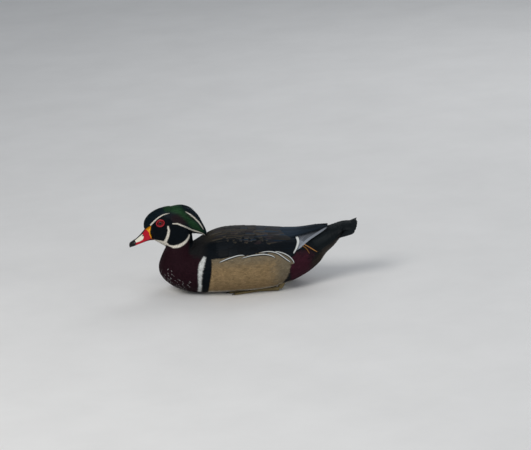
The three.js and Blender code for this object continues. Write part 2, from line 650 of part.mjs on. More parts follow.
function model() {
  const solids = {};
  const both = (name, left) => {
    solids[`${name}_left`] = left;
    solids[`${name}_right`] = mirrored(left);
  };
  const pair = (left) => [left, mirrored(left)];
  const cut = GAP;

  // The wing and the flank keep to their own beds in the body, and the wing stops at the flank's edge.
  const body = length(BODY, TAIL_CUT, NECK_CUT, { grow: cut });
  const flankRoom = slab(FLANK_LOW, FLANK_HIGH, () => 9, () => -9, { grow: cut });
  const wingBed = slab(WING_LOW, WING_HIGH, () => 9, () => -WING_DEPTH - 0.1, { grow: 0.1 });
  const flankBed = slab(FLANK_LOW, FLANK_HIGH, () => 9, () => -WING_DEPTH + 0.5, { grow: 0.1 });
  both("wing", without(wing(), flankRoom, body.subtract(wingBed), MIDDLE));
  both("flank", without(flank(), body.subtract(flankBed)));
  both("leg", leg());
  both("foot", without(foot(), leg(cut)));

  const pockets = [
    slab(WING_LOW, WING_HIGH, () => 6, () => -WING_DEPTH - GAP, { grow: 0.5 }),
    slab(FLANK_LOW, FLANK_HIGH, () => 6, () => -WING_DEPTH + 0.6 - GAP, { grow: 0.5 }),
    leg(cut),
    block(FOOT_ROOM[0], FOOT_ROOM[1]),
  ].flatMap(pair);
  const plumes = PLUMES.map(plume).flatMap(pair);
  const trunk = length(BODY, TAIL_CUT, NECK_CUT, { back: [GAP / 2, GAP / 2] });
  solids.torso = without(joined([without(trunk, ...pockets, UNDER_FLOOR), ...plumes]));
  solids.neck = length(BODY, NECK_CUT, HEAD_CUT, { back: [GAP / 2, GAP / 2] });
  solids.tail = tail();

  const wholeHead = length(BODY, HEAD_CUT, BODY.length - 1, { back: [GAP / 2, 0], steps: HEAD_RINGS });
  const sockets = [eye(cut), lids(cut)].flatMap(pair);
  solids.head = without(wholeHead, upperBill(cut), lowerBill(cut), ...sockets);
  both("eye", eye());
  both("eyelids", without(lids(), eye(cut)));
  solids.bill_upper = without(upperBill(), lowerBill(cut), nostril(-1), nostril(1));
  solids.bill_lower = lowerBill();
  solids.crest = without(
    crest(),
    length(BODY, HEAD_CUT, BODY.length - 1, { grow: cut, steps: HEAD_RINGS }),
    length(BODY, TAIL_CUT + 6, HEAD_CUT + 0.5, { grow: cut }),
  );
  return solids;
}

// Colours and finishes of the nodes.
const FINISHES = {
  torso: [0x2c1418, 0.7, 0],
  neck: [0x32151b, 0.65, 0],
  head: [0x10251c, 0.4, 0.3],
  crest: [0x123d24, 0.35, 0.4],
  tail: [0x101312, 0.6, 0],
  wing: [0x121a26, 0.5, 0.1],
  flank: [0xa88d5e, 0.75, 0],
  leg: [0x8a6a24, 0.6, 0],
  foot: [0x7d6128, 0.6, 0],
  eye: [0x5a0a08, 0.08, 0],
  eyelids: [0xb01f22, 0.45, 0],
  bill_upper: [0xb92226, 0.35, 0],
  bill_lower: [0x8d1a1c, 0.35, 0],
};

const duck = new THREE.Group();
for (const [name, solid] of Object.entries(model())) {
  const mesh = settled(solid).getMesh();
  const geometry = new THREE.BufferGeometry();
  geometry.setAttribute("position", new THREE.BufferAttribute(new Float32Array(mesh.vertProperties), 3));
  geometry.setIndex(new THREE.BufferAttribute(new Uint32Array(mesh.triVerts), 1));
  geometry.computeVertexNormals();
  const [color, roughness, metalness] = FINISHES[name.replace(/_(left|right)$/, "")];
  const node = new THREE.Mesh(geometry, new THREE.MeshStandardMaterial({ color, roughness, metalness }));
  node.name = name;
  duck.add(node);
}
// The origin is under the middle of the bird's length.
const reach = new THREE.Box3().setFromObject(duck);
duck.position.x = -(reach.min.x + reach.max.x) / 2;

export default duck;
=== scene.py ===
# A drake wood duck at life size, resting on its belly: its skin, feather coats, bill, eyes and feet.
import math

import bpy
import numpy as np
from bpy.props import FloatProperty, FloatVectorProperty, IntProperty, PointerProperty
from bpy.types import Operator, Panel, PropertyGroup
from mathutils import Matrix, Vector


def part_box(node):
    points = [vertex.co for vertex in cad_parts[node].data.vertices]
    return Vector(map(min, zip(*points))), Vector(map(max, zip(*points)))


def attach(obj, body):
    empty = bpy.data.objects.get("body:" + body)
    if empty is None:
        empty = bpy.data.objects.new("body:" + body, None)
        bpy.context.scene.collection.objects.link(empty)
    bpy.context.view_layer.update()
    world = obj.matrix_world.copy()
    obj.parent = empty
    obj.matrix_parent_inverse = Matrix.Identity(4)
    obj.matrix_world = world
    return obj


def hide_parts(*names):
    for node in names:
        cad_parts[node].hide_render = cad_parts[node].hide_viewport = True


bl_info = {
    "name": "Wood Duck Drake",
    "version": (1, 0, 0),
    "blender": (4, 5, 0),
    "location": "3D View > Sidebar > Wood Duck",
    "description": "Builds a resting wood duck feather by feather around its fixed frame",
    "category": "Add Mesh",
}

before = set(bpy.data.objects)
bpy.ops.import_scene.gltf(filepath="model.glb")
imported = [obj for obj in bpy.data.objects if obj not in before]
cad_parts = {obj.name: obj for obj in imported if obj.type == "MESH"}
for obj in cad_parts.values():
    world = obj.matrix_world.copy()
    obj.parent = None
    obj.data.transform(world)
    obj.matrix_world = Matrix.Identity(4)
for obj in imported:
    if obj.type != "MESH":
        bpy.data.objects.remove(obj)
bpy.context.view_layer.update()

# Shapes are worked out in millimetres. The pack shifts the part a little along its length, and the tip of the
# bill tells by how much. FLOOR is the lowest height of any point.
MM = 0.001
BILL_TIP = -181.2
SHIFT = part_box("bill_upper")[0].x - BILL_TIP * MM
FLOOR = 0.05

# The photograph's frame in pixels, what a pixel covers at the bird, the camera's distance in metres, how
# far it looks down and is tilted, in degrees, and the pixel of the point that is MIDDLE_HEIGHT over the
# body's middle.
PICTURE = (531, 450)
PIXEL = 1.62
DISTANCE = 4.0
CAMERA_DOWN = 16
CAMERA_ROLL = 3.9
MIDDLE_PIXEL = (243.3, 267.5)
MIDDLE_HEIGHT = 30
# Lamps: name, place in metres, width in metres, watts and tint. All of them point at LAMPS_AIM.
LAMPS = (
    ("key", (-1.1, -1.5, 1.9), 1.2, 31, (1.0, 0.97, 0.92)),
    ("fill", (1.9, -1.3, 0.9), 1.6, 9, (0.92, 0.96, 1.0)),
    ("rim", (0.9, 1.6, 1.5), 1.2, 9, (1.0, 1.0, 1.0)),
)
LAMPS_AIM = (0, 0, 0.07)
SKY = (0.86, 0.90, 0.95, 1)
SKY_STRENGTH = 0.37

# Body sections from the tail to the bill: top x and z, bottom x and z, half width, height of the widest
# place from -1 to 1, and the roundness of the upper and the lower half.
BODY_ROWS = (
    (166, 95, 167, 89, 12, -0.2, 2.2, 2.2),
    (158, 92.5, 160, 75, 20, -0.2, 2.2, 2.2),
    (145, 88, 149, 61, 24, -0.1, 2.2, 2.2),
    (129, 82.5, 136, 48.5, 25.5, 0, 2.2, 2.2),
    (110, 80, 124, 33, 31, 0, 2.2, 2.2),
    (89, 83, 105, 19, 42, -0.05, 2.2, 2.2),
    (67, 88.5, 80, 8, 55, -0.1, 2.2, 2.2),
    (42, 92.5, 50, 0, 64.5, -0.12, 2.2, 2.2),
    (15, 95.5, 16, -2.5, 69.5, -0.14, 2.2, 2.2),
    (-14, 97, -18, -2.5, 70, -0.15, 2.2, 2.2),
    (-37, 95.5, -50, -2.5, 66, -0.15, 2.2, 2.2),
    (-54, 90, -82, -0.5, 59, -0.12, 2.2, 2.2),
    (-65.5, 84, -107, 6, 51, -0.1, 2.2, 2.2),
    (-72.5, 79.5, -125, 18, 44.5, -0.08, 2.2, 2.2),
    (-75.5, 77.5, -134.5, 31, 39, -0.05, 2.1, 2.2),
    (-77, 78, -136, 43.5, 34, 0, 2.1, 2.1),
    (-78, 81, -131.5, 56.5, 29.5, 0, 2.1, 2.1),
    (-78.3, 86.5, -126, 67, 26, 0, 2.1, 2.1),
    (-78.6, 93.5, -122.3, 74.3, 23.8, 0, 2.1, 2.1),
    (-80.2, 102, -124.5, 76.8, 22.8, -0.05, 2.1, 2.1),
    (-83.7, 112.5, -128.5, 79.6, 22.5, -0.1, 2.1, 2.1),
    (-89.5, 124, -132.5, 82.3, 22.3, -0.1, 2.1, 2.1),
    (-97.5, 134, -136, 84.6, 21.8, -0.1, 2.1, 2.1),
    (-110, 140.8, -138.8, 86.1, 20.8, -0.05, 2.1, 2.1),
    (-124.5, 139.6, -141, 87.2, 18.8, 0, 2.1, 2.1),
    (-137, 135.5, -142.6, 88.2, 15.4, 0, 2.1, 2.1),
    (-147, 128.8, -143.8, 89.3, 12, 0, 2.1, 2.1),
    (-153.4, 120.5, -145, 91, 9.9, 0, 2.1, 2.1),
    (-156.2, 110, -146.5, 94, 8.2, 0, 2.1, 2.1),
)
BODY_END = len(BODY_ROWS) - 1
CREST_ROWS = (
    (-112, 139, -104, 100, 17, 0, 2.1, 2.1),
    (-98, 141, -93, 98, 16, 0, 2.1, 2.1),
    (-86, 139.4, -85, 96, 14.5, 0, 2.1, 2.1),
    (-77.5, 134.8, -78.5, 94.5, 12.5, 0, 2.1, 2.1),
    (-70.5, 127.8, -72.5, 93.5, 10.5, 0, 2.1, 2.1),
    (-65, 119.5, -67.5, 92.5, 8.5, 0, 2.1, 2.1),
    (-61, 110, -63.3, 91.5, 6.5, 0, 2.1, 2.1),
    (-57.2, 101, -60, 90.2, 4.5, 0, 2.1, 2.1),
    (-54.6, 92.8, -56.8, 88.6, 2.4, 0, 2.1, 2.1),
)
UPPER_BILL_ROWS = (
    (-141, 114.5, -137, 93.5, 14.2, -0.3, 1.9, 3),
    (-149, 110.5, -142, 91.5, 11.4, -0.5, 1.9, 3),
    (-156.5, 103.5, -148, 88.8, 9.6, -0.6, 1.8, 3),
    (-163, 96.8, -156, 86, 8.3, -0.65, 1.7, 3),
    (-169.5, 91.2, -164, 83.2, 7.6, -0.65, 1.8, 3),
    (-174.8, 88.2, -171, 80.8, 7.2, -0.6, 2, 3),
    (-179, 85.2, -176.8, 78.6, 5.8, -0.4, 2, 2.5),
    (-181.2, 81, -180.2, 76.6, 2.8, -0.1, 2, 2),
)
LOWER_BILL_ROWS = (
    (-139, 92.4, -139, 87.2, 9, 0.5, 2.5, 2),
    (-148, 89.6, -149, 87.3, 8.3, 0.5, 2.5, 2),
    (-156, 86.8, -157.5, 84.8, 7.1, 0.5, 2.5, 2),
    (-164, 84, -165.5, 82.2, 6.5, 0.5, 2.5, 2),
    (-171, 81.6, -172.5, 79.7, 6, 0.5, 2.5, 2),
    (-176, 79.5, -176.8, 78.2, 4, 0.3, 2.2, 2),
)

# Lines of the markings in the side view, as x and z.
BROW_LINE = (
    (-143.4, 115.8), (-136.8, 122.3), (-130.1, 127.8), (-122.4, 131.6), (-117.3, 132.8), (-112, 133.4),
)
CREST_HIGH_LINE = (
    (-85.6, 133.2), (-78.7, 127.9), (-72.6, 121.7), (-66.4, 114), (-62.4, 106.4), (-59.6, 100.4),
)
CREST_LOW_LINE = (
    (-107.6, 117.3), (-100.2, 116.2), (-91.9, 111.6), (-84.9, 107.2), (-77.8, 101.8), (-71.3, 98.6),
    (-66, 96), (-60.7, 92.2), (-58, 89.4),
)
SPUR_LINE = ((-115.4, 113.4), (-114.6, 107.2), (-116, 100.5), (-118.8, 93.5), (-122, 88))
COLLAR_LINE = (
    (-121.4, 82.8), (-115.4, 80.4), (-109, 79.4), (-100.8, 80.7), (-93.9, 83.4), (-88.1, 87), (-84.4, 91),
    (-82.9, 94.6),
)
GREEN_LINE = (
    (-117, 141), (-106, 140), (-96, 136.5), (-87.5, 128), (-80.5, 119), (-75, 111), (-69, 103.5), (-63.5, 96),
)
CREST_EDGE_LINE = ((-88, 140.5), (-79, 137), (-69.5, 127), (-62, 114), (-56.5, 99))
CHEEK_TOP = (
    (-156, 106), (-143, 115), (-134, 126.7), (-121, 129.6), (-111.5, 125), (-106.5, 118), (-92, 112),
    (-78, 103), (-60, 92),
)
BILL_BORDER = ((-143.4, 91.5), (-146, 99.5), (-144.9, 107), (-142.7, 115.4))
BILL_RIDGE = ((-156.2, 106.6), (-142.7, 115.4))
CULMEN_LINE = ((-172, 88.6), (-168.2, 90.9), (-158.7, 98.6), (-154.5, 104.2), (-151, 110))
NOSTRIL = (-157.9, 96.9)
# The rear edge of the nail's black, as height and x.
NAIL_EDGE = ((80, -171), (82.4, -170.4), (86.7, -169.2), (90.4, -172.7))
# Patches in the side view.
THROAT = (
    (-150, 92), (-141.4, 89.6), (-130.7, 89.6), (-124.5, 88.6), (-119.5, 86.5), (-116.5, 83), (-118.5, 79.5),
    (-123.5, 75.2), (-135, 70), (-150, 76),
)
BREAST_BAR = (
    (-61.2, 68.6), (-67.6, 60), (-70.4, 54), (-71.8, 45), (-72.4, 36), (-73.2, 20), (-76, 4), (-70, 4),
    (-68, 20), (-67.8, 29.3), (-64.9, 43.7), (-61, 56), (-57.8, 66.4),
)
BLACK_BAR = (
    (-61.2, 70), (-64.9, 43.7), (-67.8, 29.3), (-70, 4), (-59, 4), (-54, 27), (-49.6, 47.7), (-48.6, 58),
    (-49.3, 70),
)
WHITE_PATCH = (
    (-171.4, 89.6), (-170.6, 87.3), (-169.2, 86.3), (-163, 88), (-158.6, 90.4), (-156.7, 93.2),
    (-156.6, 96.4), (-158.4, 98.8), (-161, 97.4), (-168.2, 92.2),
)
YELLOW_WEDGE = (
    (-155.4, 106.9), (-142.2, 116.4), (-140.5, 113), (-144.4, 106), (-145.4, 99.4), (-147.6, 103.2),
    (-150.4, 105.6),
)
# The front edge of the flank, as height and x, its rear edge, as angle and x, the upper edge of the
# breast, as place along the body and angle, and the edge of the head's black over the collar, as angle and
# place.
FLANK_FRONT = ((4, -59), (27, -54), (47.7, -49.6), (58, -48.6), (70, -49.3))
FLANK_REAR = ((-60, 56), (-40, 64), (-20, 72), (1, 77), (10, 77))
BREAST_TOP = ((10.5, 26), (12, 34), (14, 44), (16, 50), (17.6, 52))
COLLAR_EDGE = (
    (-90, 19.1), (-43.7, 19.3), (-36.4, 18.5), (-18.6, 17.8), (4.2, 17.5), (23, 17.4), (42, 17.6),
    (60.5, 17.9), (90, 18.3),
)
# Lines on the side of the body, as x and angle.
WING_BAR = ((87.8, 72), (88.5, 63), (90.1, 53), (89.8, 43), (86.4, 30), (81.4, 20.5))
WING_LOW = (
    (-58, 26), (-37, 26), (-21, 27.6), (-5, 30.7), (16, 31.5), (32, 32.5), (43, 33.5), (53, 30), (62, 23),
    (70, 18), (80, 18), (92, 34),
)
FLANK_HIGH = (
    (-49, 25), (-37, 25), (-21, 26.6), (-5, 29.7), (16, 30.5), (32, 31.5), (43, 32.5), (53, 28.5), (62, 20.5),
    (70, 10), (76, 1),
)
# The long upper feathers of the flank, as paths of their white lines.
FLANK_LINES = (
    ((-37, 19.6), (-27, 23.2), (-18.3, 25.9), (-6.4, 28.7), (5, 29.4)),
    ((-3, 24), (11.6, 27.3), (22, 28.4), (35, 28.5), (45.1, 25), (51.3, 20.5)),
    ((27, 31.9), (41.7, 32.7), (53.2, 28.8), (61.8, 20.9), (69.1, 12.3), (75.3, 5.8)),
    ((52, 31), (56.5, 29.9), (64.7, 25.3), (72.1, 18.2), (76.9, 9.7), (78.5, 4.7)),
)
FLANK_LINE_TIPS = (1.0, 1.3, 2.1, 2.6)
FLANK_LINE_WIDE = 9.0
PLUME_PATHS = (
    ((96, 42), (99.2, 39), (107.9, 24), (120.2, -2.1)),
    ((94, 38), (96.4, 35), (102.6, 23.9), (107.2, 6.1)),
)
# The first and the last place of the body's and of the head's coat, which overlap on the neck, and the
# size of a small feather's patch on the bake map.
BODY_COAT = (17.9, 1.2)
HEAD_COAT = (BODY_END, 17.4)
TUFT_PATCH = 0.003
# How many degrees higher each row of wing coverts starts, and the lowest angle of each row of scapulars.
COVERT_STAGGER = (0, 2.7, 0, 2.7, 0, 2.7, 0, 2.7, 0.5, 3.2, 1, 3.7, 2)
SCAPULAR_LOW = (66, 60, 55, 58, 54, 57, 53.5, 56, 52.5, 55, 52, 55, 58, 62)
SECONDARIES = 12
PRIMARIES = 7
TERTIALS = 5
# Rows of rump coverts: place along the body, number round it, and how far roots and tips rise on the upper
# side.
RUMP_COVERTS = (
    (4.1, 28, 0, 2.4), (3.75, 28, 0.8, 2.1), (3.4, 27, 1.4, 1.7), (3.05, 26, 1.7, 1.3), (2.7, 25, 1.8, 0.8),
    (2.35, 24, 1.6, 0.4), (2, 23, 1.4, 0),
)
# Rows of tail coverts: place along the body, reach over the fan as a share of its length, and rise.
TAIL_COVERTS = ((1.0, 0.84, 0.0), (1.4, 0.74, 0.4), (1.8, 0.62, 0.8), (2.2, 0.50, 1.1))
TAIL_COVERTS_ROUND = 24
# The eye: its place on the body as place and angle, how deep its middle lies, and its own and the lid's
# sizes.
EYE_AT = (23.6, 11.5)
EYE_SINK = 3.3
EYE_RADIUS = 5.8
LID_ALONG = 6.1
LID_ACROSS = 4.9
LID_TUBE = 1.3
LID_TILT = 0.22
# The fan: x and z of its root, its run from there, and its half width and drop, at the root and added by
# the tip.
TAIL_ROOT = (122, 72)
TAIL_REACH = (66, 27.5)
TAIL_HALF = (13, 14)
TAIL_DROP = (3, 6)
# The left leg's joints, where the toes start, their tips and radii, their bends as share of the length and
# height, and the points of the hind toe, counted from the start.
HEEL = (56, -43, 4.2)
ANKLE = (22, -40, 3)
TOES_START = (ANKLE[0] - 0.3, ANKLE[1])
TOE_TIPS = ((-14, -26), (-30, -39), (-21, -52))
TOE_RADII = (1.9, 2.1, 2.0)
TOE_BENDS = ((-0.04, 2.6), (0.35, 2.1), (0.7, 1.8), (0.9, 1.7))
HIND_TOE = ((-1, 1.8, 2), (6, 5.4, 1.5), (11, 6.6, 1.0))


def length_prop(name, description, default):
    """A size in metres."""
    return FloatProperty(
        name=name, description=description, default=default, min=0, unit="LENGTH", precision=5
    )


def colour_prop(name, description, default):
    """A linear colour."""
    return FloatVectorProperty(
        name=name, description=description, default=default, size=3, min=0, max=1, subtype="COLOR"
    )


class DuckSizes(PropertyGroup):
    """Sizes that the frame doesn't settle."""

    coat_depth: length_prop("Coat depth", "How far the skin lies under the plumage's outline", 0.0015)
    face_gap: length_prop("Face feather spacing", "Between the feathers' roots beside the bill", 0.00072)
    head_gap: length_prop("Head feather spacing", "Between the feathers' roots on the head", 0.00088)
    neck_gap: length_prop("Neck feather spacing", "Between the feathers' roots on the neck", 0.0012)
    body_gap: length_prop("Body feather spacing", "Between the feathers' roots on the body", 0.0019)
    pupil: length_prop("Pupil", "Radius of the pupil", 0.0023)
    iris: length_prop("Iris", "Radius of the iris", 0.0047)
    rectrices: IntProperty(
        name="Tail feathers", description="On each side of the middle one", default=7, min=2
    )
    seed: IntProperty(name="Seed", description="Seed of the feathers' small differences", default=11, min=0)


class PlumageColours(PropertyGroup):
    """Colours of the feathers."""

    white: colour_prop("White", "Lines and throat of the head", (0.70, 0.66, 0.58))
    bar_white: colour_prop("Bar white", "Bars of the breast and the wing", (0.66, 0.68, 0.67))
    black: colour_prop("Black", "Face and neck", (0.0025, 0.0045, 0.0070))
    green: colour_prop("Green", "Crown and crest", (0.018, 0.056, 0.024))
    teal: colour_prop("Teal", "Forehead and rear of the crest", (0.005, 0.013, 0.019))
    bronze_purple: colour_prop("Bronze purple", "Behind the eye", (0.020, 0.013, 0.016))
    maroon: colour_prop("Maroon", "Breast", (0.017, 0.005, 0.0085))
    mantle: colour_prop("Mantle", "Upper back", (0.012, 0.012, 0.013))
    bronze: colour_prop("Bronze", "Sheen of the shoulder feathers", (0.062, 0.052, 0.036))
    night_blue: colour_prop("Night blue", "Tertials and speculum", (0.008, 0.022, 0.042))
    silver: colour_prop("Silver", "Outer webs of the primaries", (0.28, 0.305, 0.35))
    rump: colour_prop("Rump", "Rump and tail coverts", (0.006, 0.009, 0.011))
    rump_maroon: colour_prop("Rump side", "Patch on the side of the rump", (0.042, 0.010, 0.018))
    tail: colour_prop("Tail", "Tail feathers", (0.010, 0.013, 0.016))
    under_tail: colour_prop("Under tail", "Lower tail coverts", (0.036, 0.026, 0.019))
    tan: colour_prop("Tan", "Lower flank", (0.29, 0.20, 0.102))
    grey_tan: colour_prop("Grey tan", "Upper and rear flank", (0.185, 0.152, 0.102))
    belly: colour_prop("Belly", "Under side", (0.70, 0.66, 0.58))
    orange: colour_prop("Orange", "Side plumes of the rump", (0.40, 0.19, 0.055))


class BareColours(PropertyGroup):
    """Colours of the bill, the eyes and the feet."""

    bill_red: colour_prop("Bill red", "Side of the bill", (0.46, 0.004, 0.018))
    bill_yellow: colour_prop("Bill yellow", "Line at the bill's base", (0.85, 0.36, 0.010))
    bill_white: colour_prop("Bill white", "Patch before the nostril", (0.80, 0.78, 0.66))
    bill_black: colour_prop("Bill black", "Ridge, nail and lower bill", (0.005, 0.005, 0.006))
    iris: colour_prop("Iris", "Eye", (0.13, 0.008, 0.008))
    lid: colour_prop("Lid", "Bare ring round the eye", (0.33, 0.012, 0.022))
    foot: colour_prop("Foot", "Legs and toes", (0.19, 0.145, 0.065))
    web: colour_prop("Web", "Webs between the toes", (0.075, 0.060, 0.035))
    claw: colour_prop("Claw", "Claws", (0.02, 0.017, 0.014))


def unit(vectors):
    """Vectors divided by their lengths."""
    return vectors / np.maximum(np.linalg.norm(vectors, axis=-1, keepdims=True), 1e-9)


def smooth(value, low, high):
    """Rises from 0 to 1 between low and high as 3t^2 - 2t^3."""
    t = np.clip((value - low) / (high - low), 0, 1)
    return t * t * (3 - 2 * t)


def along_rows(rows, s):
    """Catmull-Rom interpolation between rows of numbers, for a whole array of places counted in rows."""
    rows = np.asarray(rows, float)
    last = len(rows) - 1
    s = np.asarray(s, float)
    i = np.clip(np.floor(s), 0, last - 1).astype(int)
    t = (s - i)[..., None]
    a, b, c, d = (rows[np.clip(i + k, 0, last)] for k in (-1, 0, 1, 2))
    return 0.5 * (2 * b + (c - a) * t + (2 * a - 5 * b + 4 * c - d) * t**2 + (3 * b - a - 3 * c + d) * t**3)


def section(rows, s, angle):
    """Points of a sectioned form. The angle runs from -90 at the bottom over the left side and 90 at the
    top to the right. The height is a power of the sine between the bottom, the widest place and the top,
    and the width the same power of the cosine."""
    row = along_rows(rows, s)
    top, low, half, widest = row[..., 0:2], row[..., 2:4], row[..., 4], row[..., 5]
    sine = np.sin(np.radians(angle))
    cosine = np.cos(np.radians(angle))
    power = 2 / np.where(sine >= 0, row[..., 6], row[..., 7])
    rise = np.abs(sine) ** power
    height = np.where(sine >= 0, widest + (1 - widest) * rise, widest - (1 + widest) * rise)
    across = half * np.sign(cosine) * np.abs(cosine) ** power
    place = (top + low) / 2 + (top - low) / 2 * height[..., None]
    return np.stack([place[..., 0], -across, place[..., 1]], -1)


class Surface:
    """A surface over two parameters, with the plumage's lie as the sign of the first one."""

    def __init__(self, place, sample, outward, lie=1, steps=(0.01, 0.4)):
        self.place = place
        self.lie = lie
        self.steps = steps
        self.sign = 1.0
        normal = self.basis(np.array(sample[0], float), np.array(sample[1], float))[3]
        self.sign = 1.0 if normal @ np.array(outward, float) > 0 else -1.0

    def basis(self, p, q):
        """The point, its change with each parameter, and the outward normal."""
        p, q = np.broadcast_arrays(np.asarray(p, float), np.asarray(q, float))
        dp, dq = self.steps
        along_p = (self.place(p + dp, q) - self.place(p - dp, q)) / (2 * dp)
        along_q = (self.place(p, q + dq) - self.place(p, q - dq)) / (2 * dq)
        return self.place(p, q), along_p, along_q, unit(np.cross(along_p, along_q)) * self.sign

    def at(self, p, q, lift=0.0):
        """The point raised by some millimetres along the normal."""
        point, _, _, normal = self.basis(p, q)
        return point + normal * np.asarray(lift)[..., None]


def into_parameters(along_p, along_q, vector):
    """Solves vector = a along_p + b along_q in the least-squares sense and gives a and b."""
    pp, qq, pq = (np.sum(x * y, -1) for x, y in ((along_p, along_p), (along_q, along_q), (along_p, along_q)))
    vp, vq = np.sum(vector * along_p, -1), np.sum(vector * along_q, -1)
    scale = np.maximum(pp * qq - pq * pq, 1e-9)
    return (vp * qq - vq * pq) / scale, (vq * pp - vp * pq) / scale


def side_place(x, angle):
    """The point of the body's surface at an x and an angle. Its section is found by halving the interval."""
    x, angle = np.broadcast_arrays(np.asarray(x, float), np.asarray(angle, float))
    rear = np.zeros(x.shape)
    front = np.full(x.shape, float(BODY_END))
    for _ in range(26):
        middle = (rear + front) / 2
        behind = section(BODY_ROWS, middle, angle)[..., 0] > x
        rear = np.where(behind, middle, rear)
        front = np.where(behind, front, middle)
    return section(BODY_ROWS, (rear + front) / 2, angle)


def tail_place(u, angle):
    """The fanned tail: straight from root to tip, spread by the angle, and lower by the angle's square."""
    k = np.asarray(angle) / 90
    x = TAIL_ROOT[0] + TAIL_REACH[0] * u
    y = k * (TAIL_HALF[0] + TAIL_HALF[1] * u)
    z = TAIL_ROOT[1] + TAIL_REACH[1] * u - (TAIL_DROP[0] + TAIL_DROP[1] * u) * k * k
    return np.stack(np.broadcast_arrays(x, y, z), -1)


BODY = Surface(lambda s, a: section(BODY_ROWS, s, a), (9, 0), (0, -1, 0), lie=-1)
CREST = Surface(lambda s, a: section(CREST_ROWS, np.minimum(s, 8.15), a), (3, 0), (0, -1, 0))
SIDE = Surface(side_place, (0, 0), (0, -1, 0), steps=(0.3, 0.4))
TAIL = Surface(tail_place, (0.5, 0), (0, 0, 1))


def folded(angle):
    """An angle of the right side as that of the left."""
    angle = (np.asarray(angle, float) + 90) % 360 - 90
    return np.where(angle > 90, 180 - angle, angle)


def along_line(value, line):
    """Linear interpolation along a line of pairs."""
    return np.interp(value, *np.transpose(line))


def line_mask(x, z, line, halves, soft=0.35):
    """1 within a line's half width, which is interpolated along it, and 0 past its soft edge."""
    line = np.asarray(line, float)
    starts, ends = line[:-1], line[1:]
    shares = np.linspace(0, 1, len(line))
    widths = np.interp(shares, np.linspace(0, 1, len(halves)), halves)
    best = np.full(np.shape(x), -np.inf)
    for start, end, wide, next_wide in zip(starts, ends, widths, widths[1:]):
        way = end - start
        t = np.clip(((x - start[0]) * way[0] + (z - start[1]) * way[1]) / (way @ way), 0, 1)
        away = np.hypot(x - start[0] - t * way[0], z - start[1] - t * way[1])
        best = np.maximum(best, wide + (next_wide - wide) * t - away)
    return smooth(best, -soft, soft)


def patch_mask(x, z, corners, soft=0.5):
    """1 inside a polygon of the side view and 0 outside, with a soft edge."""
    corners = np.asarray(corners, float)
    inside = np.zeros(np.shape(x), bool)
    nearest = np.full(np.shape(x), np.inf)
    for start, end in zip(corners, np.roll(corners, -1, 0)):
        way = end - start
        t = np.clip(((x - start[0]) * way[0] + (z - start[1]) * way[1]) / (way @ way), 0, 1)
        nearest = np.minimum(nearest, np.hypot(x - start[0] - t * way[0], z - start[1] - t * way[1]))
        if way[1]:
            crosses = (start[1] > z) != (end[1] > z)
            inside ^= crosses & (x < start[0] + (z - start[1]) / way[1] * way[0])
    return smooth(np.where(inside, nearest, -nearest), -soft, soft)


def blob(x, z, centre, radii):
    """A soft round patch: exp(-r^2) with r counted in radii."""
    return np.exp(-(((x - centre[0]) / radii[0]) ** 2) - ((z - centre[1]) / radii[1]) ** 2)


class Paint:
    """Colours of many points, laid one over another. The fourth number is the metallic sheen."""

    def __init__(self, shape, colour, sheen=0.0):
        self.values = np.empty((*shape, 4))
        self.values[..., :3] = np.array(colour[:])
        self.values[..., 3] = sheen

    def lay(self, colour, mask, sheen=0.0):
        """Mixes in a colour where the mask is 1."""
        target = np.array([*colour[:], sheen])
        self.values += (target - self.values) * np.asarray(mask)[..., None]
        return self


def paint_plumage(points, s, angle, noise=0.0):
    """The body's and the head's markings at points of the plumage: noise shifts the soft borders."""
    c = bpy.context.scene.duck_plumage
    x, z = points[..., 0], points[..., 2]
    f = folded(angle)
    edge = noise * 6
    paint = Paint(x.shape, c.mantle)
    # Back, rump and belly.
    paint.lay(c.bronze, smooth(f, 50, 80) * smooth(x, -66, -40) * smooth(-x, -75, -40) * 0.6, 0.2)
    paint.lay(c.rump, smooth(x + edge, 74, 92), 0.15)
    wing_side = smooth(f + edge, 20, 30) * smooth(-f, -66, -54)
    paint.lay(c.black, wing_side * smooth(-x, -95, -85) * smooth(x, -66, -50))
    rump_side = smooth(x, 73, 78) * smooth(-x - edge, -122, -100)
    paint.lay(c.rump_maroon, rump_side * smooth(-z - edge, -68, -54), 0.1)
    paint.lay(c.under_tail, smooth(x + edge, 104, 122) * smooth(-f - edge, 0, 30) * 0.8)
    under = smooth(-x, -80, -66) * smooth(s, 3.6, 5.2) * smooth(-s, -13.2, -11.5)
    paint.lay(c.belly, smooth(-f - edge, 46, 58) * under)
    # Breast, with its dark rear edge over the shoulder.
    breast = smooth(along_line(s, BREAST_TOP) - f + edge, -6, 7) * smooth(s, 10.2, 10.8)
    paint.lay(c.maroon, breast, 0.12)
    paint.lay(c.belly, smooth(-f - edge, 68, 80) * smooth(-s, -13.5, -12) * smooth(s, 9, 10))
    paint.lay(c.black, smooth(f + edge, 46, 58) * smooth(s, 14.2, 15.4), 0.1)
    # Flank, greyer above and behind, and the bars before it.
    flank = smooth(x + 0.5 * noise - along_line(z, FLANK_FRONT), -0.5, 0.5)
    flank = flank * smooth(along_line(f, FLANK_REAR) - x + 2 * noise, -0.6, 0.6)
    flank = flank * smooth(along_line(x, FLANK_HIGH) - f, -1, 1)
    tan = flank_colours(x, z, f, edge)
    paint.values += (tan.values - paint.values) * (flank * smooth(f, -64, -58))[..., None]
    paint.lay(c.black, patch_mask(x - 0.6 * noise, z, BLACK_BAR, 0.7) * (1 - flank))
    paint.lay(c.bar_white, patch_mask(x + 0.6 * noise, z, BREAST_BAR, 0.6) * 0.88)
    # Head: everything above the collar.
    head = smooth(s - along_line(f, COLLAR_EDGE), -0.12, 0.12)
    paint.lay(c.black, head, 0.05)
    paint_head(paint, x, z, head)
    return paint


